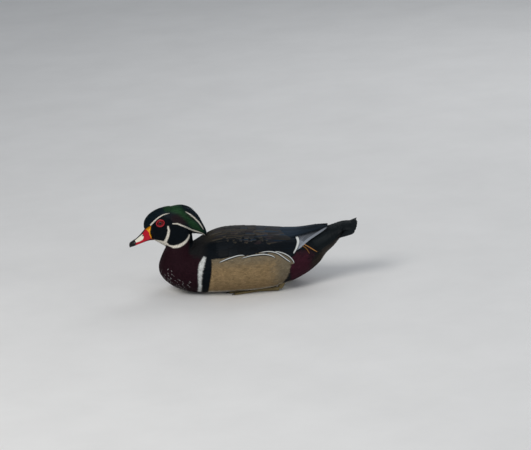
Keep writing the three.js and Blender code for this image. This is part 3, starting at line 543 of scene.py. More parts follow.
def flank_colours(x, z, f, edge=0.0):
    """The flank's tan, greyer above and behind, and pale towards the belly."""
    c = bpy.context.scene.duck_plumage
    tan = Paint(np.shape(x), c.tan)
    tan.lay(c.grey_tan, np.maximum(smooth(z + edge, 44, 68), smooth(x + 2 * edge, 36, 66)))
    tan.lay(c.belly, smooth(-f + edge, 40, 56))
    return tan


def paint_head(paint, x, z, head):
    """The head's and the crest's colours and white lines, where the mask head is 1."""
    c = bpy.context.scene.duck_plumage
    crown = head * smooth(z - along_line(x, CHEEK_TOP), -1, 2)
    paint.lay(c.teal, crown * 0.8, 0.3)
    paint.lay(c.bronze_purple, crown * np.minimum(1, 1.6 * blob(x, z, (-93.5, 123), (19, 9))), 0.2)
    paint.lay(c.green, crown * line_mask(x, z, GREEN_LINE, (4, 5.5, 5, 4, 4.5, 5.5, 5, 3.5), 4.0), 0.45)
    paint.lay(c.teal, crown * line_mask(x, z, CREST_EDGE_LINE, (1, 3, 4, 3, 2), 2.5) * 0.9, 0.35)
    paint.lay(c.white, head * patch_mask(x, z, THROAT, 0.5))
    paint.lay(c.white, head * line_mask(x, z, SPUR_LINE, (1.2, 1.9, 2.0, 2.3)))
    paint.lay(c.white, line_mask(x, z, COLLAR_LINE, (1.0, 1.7, 2.2, 2.3, 1.8, 1.0)) * (x < -80))
    paint.lay(c.white, head * line_mask(x, z, BROW_LINE, (1.1, 0.9, 0.6, 0.15)))
    paint.lay(c.white, head * line_mask(x, z, CREST_LOW_LINE, (0.7, 1.2, 1.3, 1.1, 0.8)))
    paint.lay(c.white, head * line_mask(x, z, CREST_HIGH_LINE, (0.3, 0.8, 0.95, 0.7, 0.2)))


def grid_quads(grid):
    """Quads between the neighbours of a grid of vertex numbers."""
    return np.stack([grid[:-1, :-1], grid[1:, :-1], grid[1:, 1:], grid[:-1, 1:]], -1).reshape(-1, 4)


def vane_template(na, nb):
    """One feather as a lens: an upper and an under face of na by nb quads that share their rim. Gives for
    each vertex its step along, its place across from -1 to 1 and its face, and then the quads."""
    top = np.arange((na + 1) * (nb + 1)).reshape(na + 1, nb + 1)
    low = top.copy()
    inner = (na - 1) * (nb - 1)
    low[1:-1, 1:-1] = top.size + np.arange(inner).reshape(na - 1, nb - 1)
    i, j = np.divmod(np.arange(top.size), nb + 1)
    ii, jj = np.divmod(np.arange(inner), max(nb - 1, 1))
    step = np.concatenate([i, ii + 1])
    place = np.concatenate([2 * j / nb - 1, 2 * (jj + 1) / nb - 1])
    rim = (i == 0) | (i == na) | (j == 0) | (j == nb)
    face = np.concatenate([np.where(rim, 0, 1), -np.ones(inner)])
    return step, place, face, np.concatenate([grid_quads(top), grid_quads(low)[:, ::-1]])


def tuft_template(na):
    """One small feather as a bar of three long edges: a ridge between two rims, over a flat under side. Gives
    what vane_template gives, and the triangles that close its ends."""
    grid = np.arange((na + 1) * 3).reshape(na + 1, 3)
    step, column = np.divmod(np.arange(grid.size), 3)
    left, ridge, right = grid.T
    sides = ((left, ridge), (ridge, right), (right, left))
    quads = [np.stack([a[:-1], a[1:], b[1:], b[:-1]], -1) for a, b in sides]
    ends = np.array([[left[0], ridge[0], right[0]], [left[-1], right[-1], ridge[-1]]])
    return step, column - 1.0, (column == 1) * 1.0, np.concatenate(quads), ends


def feather_steps(na):
    """Steps from root to tip, closer towards the tip."""
    return 1 - (1 - np.linspace(0, 1, na + 1)) ** 1.35


def outline(u, root=0.55, tip=0.72, blunt=0.12):
    """A feather's half width along it: a swell from the root, then a rounded tip."""
    swell = root + (1 - root) * smooth(u, 0, 0.4)
    end = np.clip((u - tip) / (1 - tip), 0, 1)
    return swell * np.maximum(blunt, np.sqrt(1 - end**2.4))


class Vanes:
    """Feathers of one kind: their points, their template, their lengths and widths, their paint, and their
    roots' places on the body's map."""

    def __init__(self, verts, template, u, sizes):
        self.verts = verts
        self.step, self.across, self.face, self.quads = template[:4]
        self.ends = template[4] if len(template) > 4 else np.empty((0, 3), int)
        self.u = u[self.step]
        self.sizes = sizes
        self.paint = None
        self.roots = None

    def painted(self, colour, sheen=0.0):
        """Gives the feathers one colour, and the paint to lay others over it."""
        paint = Paint(self.verts.shape[:2], colour, sheen)
        self.paint = paint.values
        return paint


def surface_vanes(surface, p, q, width, lifts, nb=2, thick=0.14, camber=0.2, tilt=0.0, shape=None):
    """Feathers that follow a surface along paths of its parameters, which have a row for each feather. The
    offset across is turned into parameters. The lift grows from root to tip as u^0.8, with the middle
    raised by camber and one edge over the other by tilt. With nb 0 they are tufts."""
    na = p.shape[1] - 1
    template = vane_template(na, nb) if nb else tuft_template(na)
    step, across, face = template[:3]
    u = feather_steps(na)
    _, along_p, along_q, normal = surface.basis(p, q)
    way = unit(along_p * np.gradient(p, axis=1)[..., None] + along_q * np.gradient(q, axis=1)[..., None])
    aside = np.cross(normal, way)
    half = 0.5 * np.asarray(width)[:, None] * outline(u, **(shape or {}))[None]
    offset = aside[:, step] * (half[:, step] * across)[..., None]
    dp, dq = into_parameters(along_p[:, step], along_q[:, step], offset)
    base = surface.place(p[:, step] + dp, q[:, step] + dq)
    root, tip = (np.broadcast_to(np.asarray(x, float), (len(p),))[:, None] for x in lifts)
    arch = camber * (1 - across**2) * (0.3 + 0.7 * u[step])
    lift = root + (tip - root) * u[step] ** 0.8 + arch + face * thick / 2 + tilt * across
    verts = base + normal[:, step] * lift[..., None]
    columns = (nb or 2) + 1
    length = np.linalg.norm(np.diff(verts[:, : (na + 1) * columns : columns], axis=1), axis=-1).sum(1)
    return Vanes(verts, template, u, (length, np.asarray(width)))


def straight_paths(surface, p, q, length, turn, na):
    """Paths that run from their roots a length in millimetres along the lie, turned a little."""
    _, along_p, along_q, normal = surface.basis(p, q)
    lie = unit(along_p * surface.lie)
    way = lie * np.cos(turn)[:, None] + np.cross(normal, lie) * np.sin(turn)[:, None]
    dp, dq = into_parameters(along_p, along_q, way)
    reach = length[:, None] * feather_steps(na)
    return p[:, None] + dp[:, None] * reach, q[:, None] + dq[:, None] * reach


def path_rows(paths, na):
    """Paths given as a few points each, as arrays of the first and of the second parameter."""
    rows = [along_rows(path, feather_steps(na) * (len(path) - 1)) for path in paths]
    return np.stack([r[:, 0] for r in rows]), np.stack([r[:, 1] for r in rows])


def free_vanes(paths, facings, width, na=24, nb=6, thick=0.3, droop=0.6, lift=0.0, settle=0.0, shape=None):
    """Flight feathers along paths of points, with the upper face turned evenly from the first facing to
    the second. Each is raised by its lift, of which a share settles again towards the tip, and its edges
    droop with the square of the place across."""
    template = vane_template(na, nb)
    step, across, face = template[:3]
    u = feather_steps(na)
    spine = np.stack([along_rows(path, u * (len(path) - 1)) for path in paths])
    way = unit(np.gradient(spine, axis=1))
    first, second = (np.stack([np.asarray(f[k], float) for f in facings])[:, None] for k in (0, 1))
    normal = unit(first) * (1 - u[:, None]) + unit(second) * u[:, None]
    normal = unit(normal - way * np.sum(normal * way, -1, keepdims=True))
    aside = np.cross(normal, way)
    half = 0.5 * np.asarray(width)[:, None] * outline(u, **(shape or {}))[None]
    shaft = 0.1 * np.exp(-((across * 9) ** 2))
    raised = np.asarray(lift)[:, None] * smooth(u[step], 0.02, 0.45)
    raised = raised * (1 - settle * smooth(u[step], 0.5, 1)) - droop * across**2 + shaft + face * thick / 2
    verts = spine[:, step] + aside[:, step] * (half[:, step] * across)[..., None]
    verts = verts + normal[:, step] * raised[..., None]
    length = np.linalg.norm(np.diff(spine, axis=1), axis=-1).sum(1)
    return Vanes(verts, template, u, (length, np.asarray(width)))


def mirrored(vanes):
    """The same feathers on the right side."""
    template = (vanes.step, vanes.across, vanes.face, vanes.quads[:, ::-1], vanes.ends[:, ::-1])
    twin = Vanes(vanes.verts * (1, -1, 1), template, vanes.u, vanes.sizes)
    twin.u = vanes.u
    twin.paint = vanes.paint
    return twin


def add_vanes(name, groups, material, slot, replaces=()):
    """Joins groups of feathers into one piece. Small feathers have their patch of the bake map at their
    root's place on the body's own unwrap, and large ones, which have no such place, share the map in equal
    cells."""
    verts, quads, ends, paints, bake, vane, rims = [], [], [], [], [], [], []
    cells = sum(len(g.verts) for g in groups if g.roots is None)
    side = max(1, math.ceil(math.sqrt(cells)))
    start = cell = 0
    for g in groups:
        n, v = g.verts.shape[:2]
        verts.append(g.verts.reshape(-1, 3))
        firsts = (start + np.arange(n) * v)[:, None, None]
        quads.append((g.quads[None] + firsts).reshape(-1, 4))
        ends.append((g.ends[None] + firsts).reshape(-1, 3))
        rims.append(np.tile((np.abs(g.across) > 0.999) | (g.u < 0.001) | (g.u > 0.999), n))
        paints.append(np.broadcast_to(g.paint, (n, v, 4)).reshape(-1, 4))
        u, w = g.u, (g.across + 1) / 2
        if g.roots is None:
            row, column = np.divmod(cell + np.arange(n), side)
            corner = np.stack([column, row], -1)[:, None] / side
            place = corner + np.stack([0.04 + 0.92 * u, 0.04 + 0.92 * w], -1)[None] / side
            cell += n
        else:
            place = g.roots[:, None] + (np.stack([u, w], -1)[None] - 0.5) * TUFT_PATCH
        bake.append(np.clip(place, 0, 1).reshape(-1, 2))
        length, width = g.sizes
        vane.append(np.stack([length[:, None] * u, width[:, None] * g.across / 2], -1).reshape(-1, 2))
        start += n * v
    return add_piece(
        name, np.concatenate(verts), [np.concatenate(quads), np.concatenate(ends)], material, replaces,
        paint=np.concatenate(paints), maps={"OFBake": np.concatenate(bake), "Vane": np.concatenate(vane)},
        rims=np.concatenate(rims),
    )


def add_piece(name, points, faces, material, replaces=(), paint=None, maps=None, rims=None):
    """A mesh object at the origin from points in millimetres and arrays of faces, with colours and maps
    given for each point. Heights near or under the floor are pressed together just over it, in their
    order, by an exponential. Edges between two points of a rim stay sharp, so that a feather's upper face
    is shaded as the flat thing it is."""
    points = np.array(points, float)
    free = 8 * FLOOR
    pressed = FLOOR * (1 + 7 * np.exp((np.minimum(points[:, 2], free) - free) / 2.5))
    points[:, 2] = np.where(points[:, 2] < free, pressed, points[:, 2])
    corners = np.concatenate([f.ravel() for f in faces]).astype(np.int32)
    counts = np.concatenate([np.full(len(f), f.shape[1], int) for f in faces])
    mesh = bpy.data.meshes.new(name)
    mesh.vertices.add(len(points))
    mesh.vertices.foreach_set("co", (points * MM + (SHIFT, 0, 0)).astype(np.float32).ravel())
    mesh.loops.add(len(corners))
    mesh.loops.foreach_set("vertex_index", corners)
    mesh.polygons.add(len(counts))
    mesh.polygons.foreach_set("loop_start", (np.cumsum(counts) - counts).astype(np.int32))
    mesh.update(calc_edges=True)
    for map_name, places in (maps or {}).items():
        layer = mesh.uv_layers.new(name=map_name)
        layer.data.foreach_set("uv", places[corners].astype(np.float32).ravel())
    if paint is not None:
        layer = mesh.color_attributes.new("Markings", "FLOAT_COLOR", "POINT")
        layer.data.foreach_set("color", np.clip(paint, 0, 1).astype(np.float32).ravel())
    mesh.shade_smooth()
    if rims is not None:
        ends = np.empty(2 * len(mesh.edges), np.int32)
        mesh.edges.foreach_get("vertices", ends)
        sharp = mesh.attributes.new("sharp_edge", "BOOLEAN", "EDGE")
        sharp.data.foreach_set("value", rims[ends].reshape(-1, 2).all(1))
    mesh.validate()
    mesh.materials.append(material)
    piece = bpy.data.objects.new(name, mesh)
    bpy.context.scene.collection.objects.link(piece)
    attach(piece, "root")
    if replaces:
        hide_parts(*replaces)
    return piece


def ring_faces(rings, sides):
    """Quads of a tube of rings, and triangles to one more point at each end."""
    i, j = np.divmod(np.arange((rings - 1) * sides), sides)
    k = (j + 1) % sides
    quads = np.stack([i * sides + j, i * sides + k, (i + 1) * sides + k, (i + 1) * sides + j], -1)
    j = np.arange(sides)
    k = (j + 1) % sides
    first = rings * sides
    last = (rings - 1) * sides
    start = np.stack([k, j, np.full(sides, first)], -1)
    end = np.stack([last + j, last + k, np.full(sides, first + 1)], -1)
    return [quads, start, end]


def tube(points, flip=False):
    """A closed body from a grid of rings, with the middle of each end ring as its pole."""
    faces = ring_faces(*points.shape[:2])
    if flip:
        faces = [f[:, ::-1] for f in faces]
    return with_ends(points), faces


def with_ends(values):
    """Values of a tube's grid points, followed by those of its two poles."""
    return np.concatenate([values.reshape(-1, values.shape[-1]), values[[0, -1]].mean(1)])


def add_tube(name, points, paint, material, replaces=(), flip=False, maps=None):
    """A closed body as a piece, with its colours and maps given for its grid."""
    verts, faces = tube(points, flip)
    maps = {key: with_ends(places) for key, places in (maps or {}).items()}
    return add_piece(name, verts, faces, material, replaces, paint=with_ends(paint.values), maps=maps)


def ring_grid(first, last, rings, sides):
    """The parameters of a closed form: places from first to last, and angles once round it."""
    turns = np.linspace(-90, 270, sides + 1)[:-1]
    return np.broadcast_arrays(np.linspace(first, last, rings)[:, None], turns[None])


class Value:
    """A socket that takes part in sums: an operator on it adds the Math node for it."""

    def __init__(self, tree, socket):
        self.tree = tree
        self.socket = socket

    def _math(self, operation, first, second):
        return self.tree.node("ShaderNodeMath", {"operation": operation}, {0: first, 1: second})

    def __add__(self, other):
        return self._math("ADD", self, other)

    __radd__ = __add__

    def __sub__(self, other):
        return self._math("SUBTRACT", self, other)

    def __rsub__(self, other):
        return self._math("SUBTRACT", other, self)

    def __mul__(self, other):
        return self._math("MULTIPLY", self, other)

    __rmul__ = __mul__

    def sine(self):
        return self._math("SINE", self, 0)

    def absolute(self):
        return self._math("ABSOLUTE", self, 0)


class Tree:
    """The nodes of one material."""

    def __init__(self, name):
        self.material = bpy.data.materials.new(name)
        self.material.use_nodes = True
        self.nodes = self.material.node_tree.nodes
        self.links = self.material.node_tree.links
        self.shader = self.nodes["Principled BSDF"]

    def node(self, kind, settings=None, inputs=None, output=0):
        """Adds a node: its settings first, then the values or links of its sockets. Gives one of its
        outputs."""
        made = self.nodes.new(kind)
        for key, value in (settings or {}).items():
            setattr(made, key, value)
        self.fill(made, inputs or {})
        return Value(self, made.outputs[output])

    def fill(self, node, inputs):
        """Sets or links sockets of a node."""
        for key, value in inputs.items():
            if isinstance(value, Value):
                self.links.new(value.socket, node.inputs[key])
            elif value is not None:
                node.inputs[key].default_value = value

    def noise(self, scale, detail=3.0, roughness=0.6, vector=None):
        """Noise from 0 to 1, in waves to the metre."""
        vector = vector or self.place()
        inputs = {"Vector": vector, "Scale": scale, "Detail": detail, "Roughness": roughness}
        return self.node("ShaderNodeTexNoise", {}, inputs)

    def place(self):
        """The point's own coordinates."""
        return self.node("ShaderNodeTexCoord", output="Object")

    def mapped(self, uv_map, scale):
        """A map's coordinates, stretched."""
        uv = self.node("ShaderNodeUVMap", {"uv_map": uv_map})
        return self.node("ShaderNodeMapping", {}, {"Vector": uv, "Scale": scale})

    def separate(self, vector, axis):
        """One part of a vector."""
        return self.node("ShaderNodeSeparateXYZ", {}, {0: vector}, output=axis)

    def between(self, value, low, high, first=0.0, second=1.0):
        """A value mapped from one range to another, without passing its ends."""
        return self.node("ShaderNodeMapRange", {}, {0: value, 1: low, 2: high, 3: first, 4: second})

    def painted(self):
        """The colour and the sheen that the mesh carries."""
        name = {"attribute_name": "Markings"}
        return self.node("ShaderNodeAttribute", name), self.node("ShaderNodeAttribute", name, output="Alpha")

    def mix(self, share, first, second, blend="MIX"):
        """A mix of two colours."""
        made = self.nodes.new("ShaderNodeMix")
        made.data_type = "RGBA"
        made.blend_type = blend
        self.fill(made, {0: share, 6: first, 7: second})
        return Value(self, made.outputs[2])

    def shaded(self, colour, shade):
        """A colour multiplied by a number."""
        grey = self.node("ShaderNodeCombineXYZ", {}, {0: shade, 1: shade, 2: shade})
        return self.mix(1.0, colour, grey, "MULTIPLY")

    def finish(self, bump=None, strength=0.3, distance=0.0002, **inputs):
        """Fills the shader, with a bump where a height is given, and gives the material."""
        names = {key.replace("_", " "): value for key, value in inputs.items()}
        if bump is not None:
            names["Normal"] = self.node(
                "ShaderNodeBump", {}, {"Strength": strength, "Distance": distance, "Height": bump}
            )
        self.fill(self.shader, names)
        return self.material


def plumage_material(name, rough=0.6, barbs=0.5, mottle=0.25, vermicules=0.0, gloss=0.06):
    """Feathers: painted markings, varied a little from barb to barb, with barbs that slope away from the
    shaft. Barbs are a sine of the place along, less a part of the place across."""
    t = Tree(name)
    colour, metal = t.painted()
    vane = t.node("ShaderNodeUVMap", {"uv_map": "Vane"})
    slant = t.separate(vane, 0) - t.separate(vane, 1).absolute() * 1.3
    barb = (slant * 9.0 + t.noise(300.0, 2.0) * 3.0).sine() * 0.5 + 0.5
    streaks = t.noise(1.0, 3.0, 0.65, t.mapped("Vane", (0.35, 2.6, 1.0)))
    colour = t.shaded(colour, t.between(streaks, 0.3, 0.7, 1 - mottle, 1 + mottle))
    if vermicules:
        wave = t.node(
            "ShaderNodeTexWave",
            {"wave_type": "BANDS", "bands_direction": "Z"},
            {"Vector": t.place(), "Scale": 420.0, "Distortion": 7.0, "Detail": 2.0, "Detail Scale": 1.6},
            output=1,
        )
        bright = t.node("ShaderNodeSeparateColor", {}, {0: colour}, output=1)
        dark = t.between(wave, 0.15, 0.5, vermicules, 0.0) * t.between(bright, 0.04, 0.12)
        colour = t.mix(dark, colour, (0.035, 0.028, 0.02, 1.0))
    return t.finish(
        bump=barb * barbs + streaks * 0.8, strength=0.2, distance=0.0001, Base_Color=colour, Metallic=metal,
        Roughness=t.between(streaks, 0.2, 0.8, rough + 0.1, rough - 0.1), Specular_IOR_Level=gloss,
    )


def painted_material(name, rough, scale, bump=0.2, distance=0.0002, coat=0.0, cells=False):
    """Bare skin or horn: painted colours over fine relief, of cells like scales or of plain noise."""
    t = Tree(name)
    colour = t.painted()[0]
    if cells:
        settings = {"feature": "DISTANCE_TO_EDGE"}
        relief = t.node("ShaderNodeTexVoronoi", settings, {"Vector": t.place(), "Scale": scale})
        relief = t.between(relief, 0.0, 0.12)
        colour = t.mix(t.between(relief, 0.0, 1.0, 0.35, 0.0), colour, (0.02, 0.015, 0.01, 1.0))
    else:
        relief = t.noise(scale, 4.0, 0.55)
    soft = t.noise(scale * 0.22, 3.0)
    colour = t.shaded(colour, t.between(soft, 0.3, 0.7, 0.86, 1.12))
    return t.finish(
        bump=relief, strength=bump, distance=distance, Base_Color=colour, Specular_IOR_Level=0.2,
        Roughness=t.between(soft, 0.2, 0.8, rough + 0.06, rough - 0.06),
        Coat_Weight=coat, Coat_Roughness=0.05,
    )


def flat_material(name, colour, rough):
    """The floor: one pale tone with the faintest grain."""
    t = Tree(name)
    tint = t.shaded((*colour, 1.0), t.between(t.noise(6.0, 4.0), 0.3, 0.7, 0.97, 1.03))
    return t.finish(Base_Color=tint, Roughness=rough)


# Each finish by its material's name: the function that makes it, and its numbers.
FINISHES = {
    "skin under the plumage": (plumage_material, {"rough": 0.66, "barbs": 0.4}),
    "body feathers": (plumage_material, {"rough": 0.66, "barbs": 0.4}),
    "head feathers": (plumage_material, {"rough": 0.5, "barbs": 0.4, "mottle": 0.3}),
    "flight feathers": (plumage_material, {"rough": 0.52, "barbs": 0.9, "mottle": 0.18, "gloss": 0.1}),
    "barred flank feathers": (
        plumage_material, {"rough": 0.75, "barbs": 0.3, "mottle": 0.12, "vermicules": 0.4}
    ),
    "bill horn": (painted_material, {"rough": 0.32, "scale": 700.0, "bump": 0.12, "coat": 0.08}),
    "wet eyeball": (painted_material, {"rough": 0.08, "scale": 900.0, "bump": 0.0, "distance": 0.0001}),
    "bare lid": (painted_material, {"rough": 0.42, "scale": 1500.0, "bump": 0.5, "coat": 0.1}),
    "foot scales": (
        painted_material, {"rough": 0.55, "scale": 620.0, "bump": 0.5, "distance": 0.0003, "cells": True}
    ),
}


def get_material(name):
    """A finish's material, made on first use."""
    make, numbers = FINISHES[name]
    return bpy.data.materials.get(name) or make(name, **numbers)


def gap_at(s):
    """The spacing of the coat's roots along the body, in millimetres."""
    z = bpy.context.scene.duck_sizes
    rows = (
        (0, z.body_gap * 1.15), (9, z.body_gap * 1.1), (12.5, z.body_gap), (14.5, z.body_gap * 0.9),
        (16, z.neck_gap * 1.15), (17.5, z.neck_gap), (18.5, z.head_gap), (22, z.head_gap), (25, z.face_gap),
    )
    return along_line(s, rows) / MM


def coat_roots(surface, first, last, gap, rng):
    """Roots in staggered rows round the form, a gap apart along its longest side. Where the rows crowd, roots
    are left out in proportion."""
    angles = np.linspace(-90, 270, 145)
    p, q = [], []
    s, row = first, 0
    while s > last:
        here = gap(s)
        ring, along_s, _, _ = surface.basis(np.full(angles.shape, s), angles)
        speed = np.linalg.norm(along_s, axis=-1)
        step = here / speed.max()
        lengths = np.concatenate([[0], np.cumsum(np.linalg.norm(np.diff(ring, axis=0), axis=-1))])
        count = max(8, int(lengths[-1] / here))
        spots = (np.arange(count) + 0.5 * (row % 2) + rng.uniform(-0.3, 0.3, count)) / count * lengths[-1]
        turned = np.interp(spots % lengths[-1], lengths, angles)
        local = np.interp(turned, angles, speed) * step / here
        keep = rng.uniform(0, 1, count) < 1.25 * local
        q.append(turned[keep])
        p.append(s + rng.uniform(-0.3, 0.3, keep.sum()) * step)
        s -= step
        row += 1
    return np.concatenate(p), np.concatenate(q)


def bill_side(x, z):
    """How far a place of the side view is inside the bill's border, in millimetres."""
    reach = along_line(z, ((82, -138), *(place[::-1] for place in BILL_BORDER)))
    return np.minimum(reach - x, (along_line(x, BILL_RIDGE) - z) * 0.84)


def body_map(s, angle):
    """A root's place on the unwrap of the body: along it and round it."""
    turn = ((np.asarray(angle) + 90) % 360) / 360
    return np.stack([0.01 + 0.98 * np.asarray(s) / BODY_END, 0.01 + 0.98 * turn], -1)


def body_tufts(s, angle, rng, lengths=4.4, wide=1.3, lifts=(-1.0, 0.05), turn=0.12, limit=None):
    """Small feathers of the body's coat at given roots, painted by their place. Their lengths and widths are
    counted in the spacing of the roots, and limit holds the most millimetres that each may reach. Their tones
    vary at random and in soft waves over the body."""
    gap = gap_at(s)
    n = len(s)
    length = gap * lengths * rng.uniform(0.85, 1.2, n)
    if limit is not None:
        length = np.minimum(length, limit)
    width = gap * wide * rng.uniform(0.85, 1.15, n)
    p, q = straight_paths(BODY, s, angle, length, rng.normal(0, turn, n), 4)
    tip = lifts[1] + rng.normal(0, 0.05, n) * np.sqrt(gap)
    shape = {"root": 0.6, "tip": 0.3, "blunt": 0.16}
    vanes = surface_vanes(BODY, p, q, width, (lifts[0], tip), nb=0, thick=0.07, camber=0.05, shape=shape)
    noise = rng.normal(0, 0.3, n)[:, None]
    vanes.paint = paint_plumage(vanes.verts, p[:, vanes.step], q[:, vanes.step], noise).values
    vanes.roots = body_map(s, angle)
    waves = 0.10 * np.sin(s * 9 + np.sin(angle * 0.13) * 3) * np.sin(angle * 0.45 + s * 2)
    tone = rng.normal(1, 0.11, n) + waves
    vanes.paint[..., :3] *= np.clip(tone, 0.65, 1.35)[:, None, None]
    return vanes


def breast_spots(vanes, s, angle, rng):
    """Small pale spots at the tips of feathers low on the breast."""
    white = np.array(bpy.context.scene.duck_plumage.bar_white[:])
    chance = smooth(-folded(angle), 8, 46) * smooth(s, 11.4, 12.4) * smooth(-s, -15.5, -14.2) * 0.16
    spotted = rng.uniform(0, 1, len(s)) < chance
    mask = spotted[:, None] * smooth(vanes.u, 0.6, 0.95)[None] * 0.4
    vanes.paint[..., :3] += (white - vanes.paint[..., :3]) * mask[..., None]


def halves(name, chosen, angle):
    """The chosen roots of the left and of the right side, each with the name of their piece."""
    left = angle <= 90
    return (f"{name}_left", chosen & left), (f"{name}_right", chosen & ~left)


class DUCK_OT_skin(Operator):
    """Lay one skin under the plumage from the tail to the bill"""

    bl_idname = "duck.skin"
    bl_label = "Skin"

    def execute(self, context):
        depth = context.scene.duck_sizes.coat_depth / MM
        s, angle = ring_grid(0, BODY_END, 261, 180)
        points = BODY.at(s, angle, -depth * (1 + smooth(s, BODY_END - 2, BODY_END)))
        x, _, z = np.moveaxis(BODY.place(s, angle), -1, 0)
        inside = bill_side(x, z)
        points[..., 0] += 2.5 * smooth(inside, -0.5, 1.5)
        paint = paint_plumage(points, s, angle)
        paint_bill_base(paint, x, z, smooth(inside, -0.9, -0.5) * smooth(-x, -156, -153))
        maps = body_map(s, angle)
        add_tube(
            "skin", points, paint, get_material("skin under the plumage"),
            ("torso", "neck", "head"), flip=True, maps={"OFBake": maps, "Vane": maps * (250, 300)},
        )
        return {"FINISHED"}


class DUCK_OT_body_coat(Operator):
    """Cover the breast, back, belly and rump with small feathers"""

    bl_idname = "duck.body_coat"
    bl_label = "Body coat"

    def execute(self, context):
        rng = np.random.default_rng(context.scene.duck_sizes.seed)
        s, angle = coat_roots(BODY, *BODY_COAT, gap_at, rng)
        x = BODY.place(s, angle)[:, 0]
        f = folded(angle)
        under_wing = (x > -44) & (x < 72) & (f > along_line(x, WING_LOW) + 5) & (f < 80)
        flank = (x > -56) & (x < 74) & (f < along_line(x, FLANK_HIGH) - 1) & (f > -52)
        body = ~under_wing & ~flank
        front = s > 12.2
        plain = (get_material("body feathers"), "body_plumage")
        barred = (get_material("barred flank feathers"), "flank_plumage")
        for part, where, looks in (
            ("coat_breast", body & front, plain),
            ("coat_back", body & ~front, plain),
            ("coat_flank", flank, barred),
        ):
            for name, chosen in halves(part, where, angle):
                vanes = body_tufts(s[chosen], angle[chosen], rng)
                breast_spots(vanes, s[chosen], angle[chosen], rng)
                add_vanes(name, [vanes], *looks)
        return {"FINISHED"}


class DUCK_OT_head_coat(Operator):
    """Cover the head and the upper neck with fine silky feathers"""

    bl_idname = "duck.head_coat"
    bl_label = "Head coat"

    def execute(self, context):
        rng = np.random.default_rng(context.scene.duck_sizes.seed + 1)
        s, angle = coat_roots(BODY, *HEAD_COAT, gap_at, rng)
        x, _, z = BODY.place(s, angle).T
        free, reach = beside_eyes(s, angle)
        free &= bill_side(x, z) < 0.3
        s, angle, reach = s[free], angle[free], reach[free]
        face = s > 22.5
        for name, chosen in (*halves("coat_face", face, angle), *halves("coat_nape", ~face, angle)):
            vanes = body_tufts(
                s[chosen], angle[chosen], rng, lengths=5.2, wide=1.25, lifts=(-0.9, 0.0), turn=0.08,
                limit=reach[chosen],
            )
            add_vanes(name, [vanes], get_material("head feathers"), "head_plumage")
        return {"FINISHED"}


def beside_eyes(s, angle):
    """Which roots lie outside both lids, and how far each feather may reach before it meets one: the first
    root of the quadratic for a straight line along the lie and the lid's ellipse."""
    points, along_s, _, _ = BODY.basis(s, angle)
    lie = unit(-along_s)
    reach = np.full(len(s), 99.0)
    free = np.ones(len(s), bool)
    wide, high = LID_ALONG + 0.5 * LID_TUBE, LID_ACROSS + 0.5 * LID_TUBE
    for side in (-1, 1):
        outward, along, up = eye_axes(side)
        away = points - BODY.place(*EYE_AT) * (1, -side, 1)
        near = np.abs(away @ outward) < 9
        a, b, step_a, step_b = away @ along / wide, away @ up / high, lie @ along / wide, lie @ up / high
        square = step_a**2 + step_b**2
        half = a * step_a + b * step_b
        inner = a * a + b * b - 1
        root = half * half - square * inner
        meets = (-half - np.sqrt(np.maximum(root, 0))) / square
        hits = near & (root > 0) & (meets > 0)
        reach = np.where(hits, np.minimum(reach, meets + 0.5), reach)
        free &= ~(near & (inner < 0))
    return free & (reach > 0.9), reach


def eye_centre(side):
    """The middle of an eyeball, left for side -1."""
    return BODY.at(*EYE_AT, -EYE_SINK) * (1, -side, 1)


def eye_axes(side):
    """The eye's outward axis, its long axis towards the tail and the one across both."""
    outward = BODY.basis(*EYE_AT)[3]
    along = np.array([math.cos(LID_TILT), 0, math.sin(LID_TILT)])
    along = unit(along - outward * (along @ outward))
    up = np.cross(outward, along)
    flip = np.array([1, -side, 1])
    return outward * flip, along * flip, up * flip


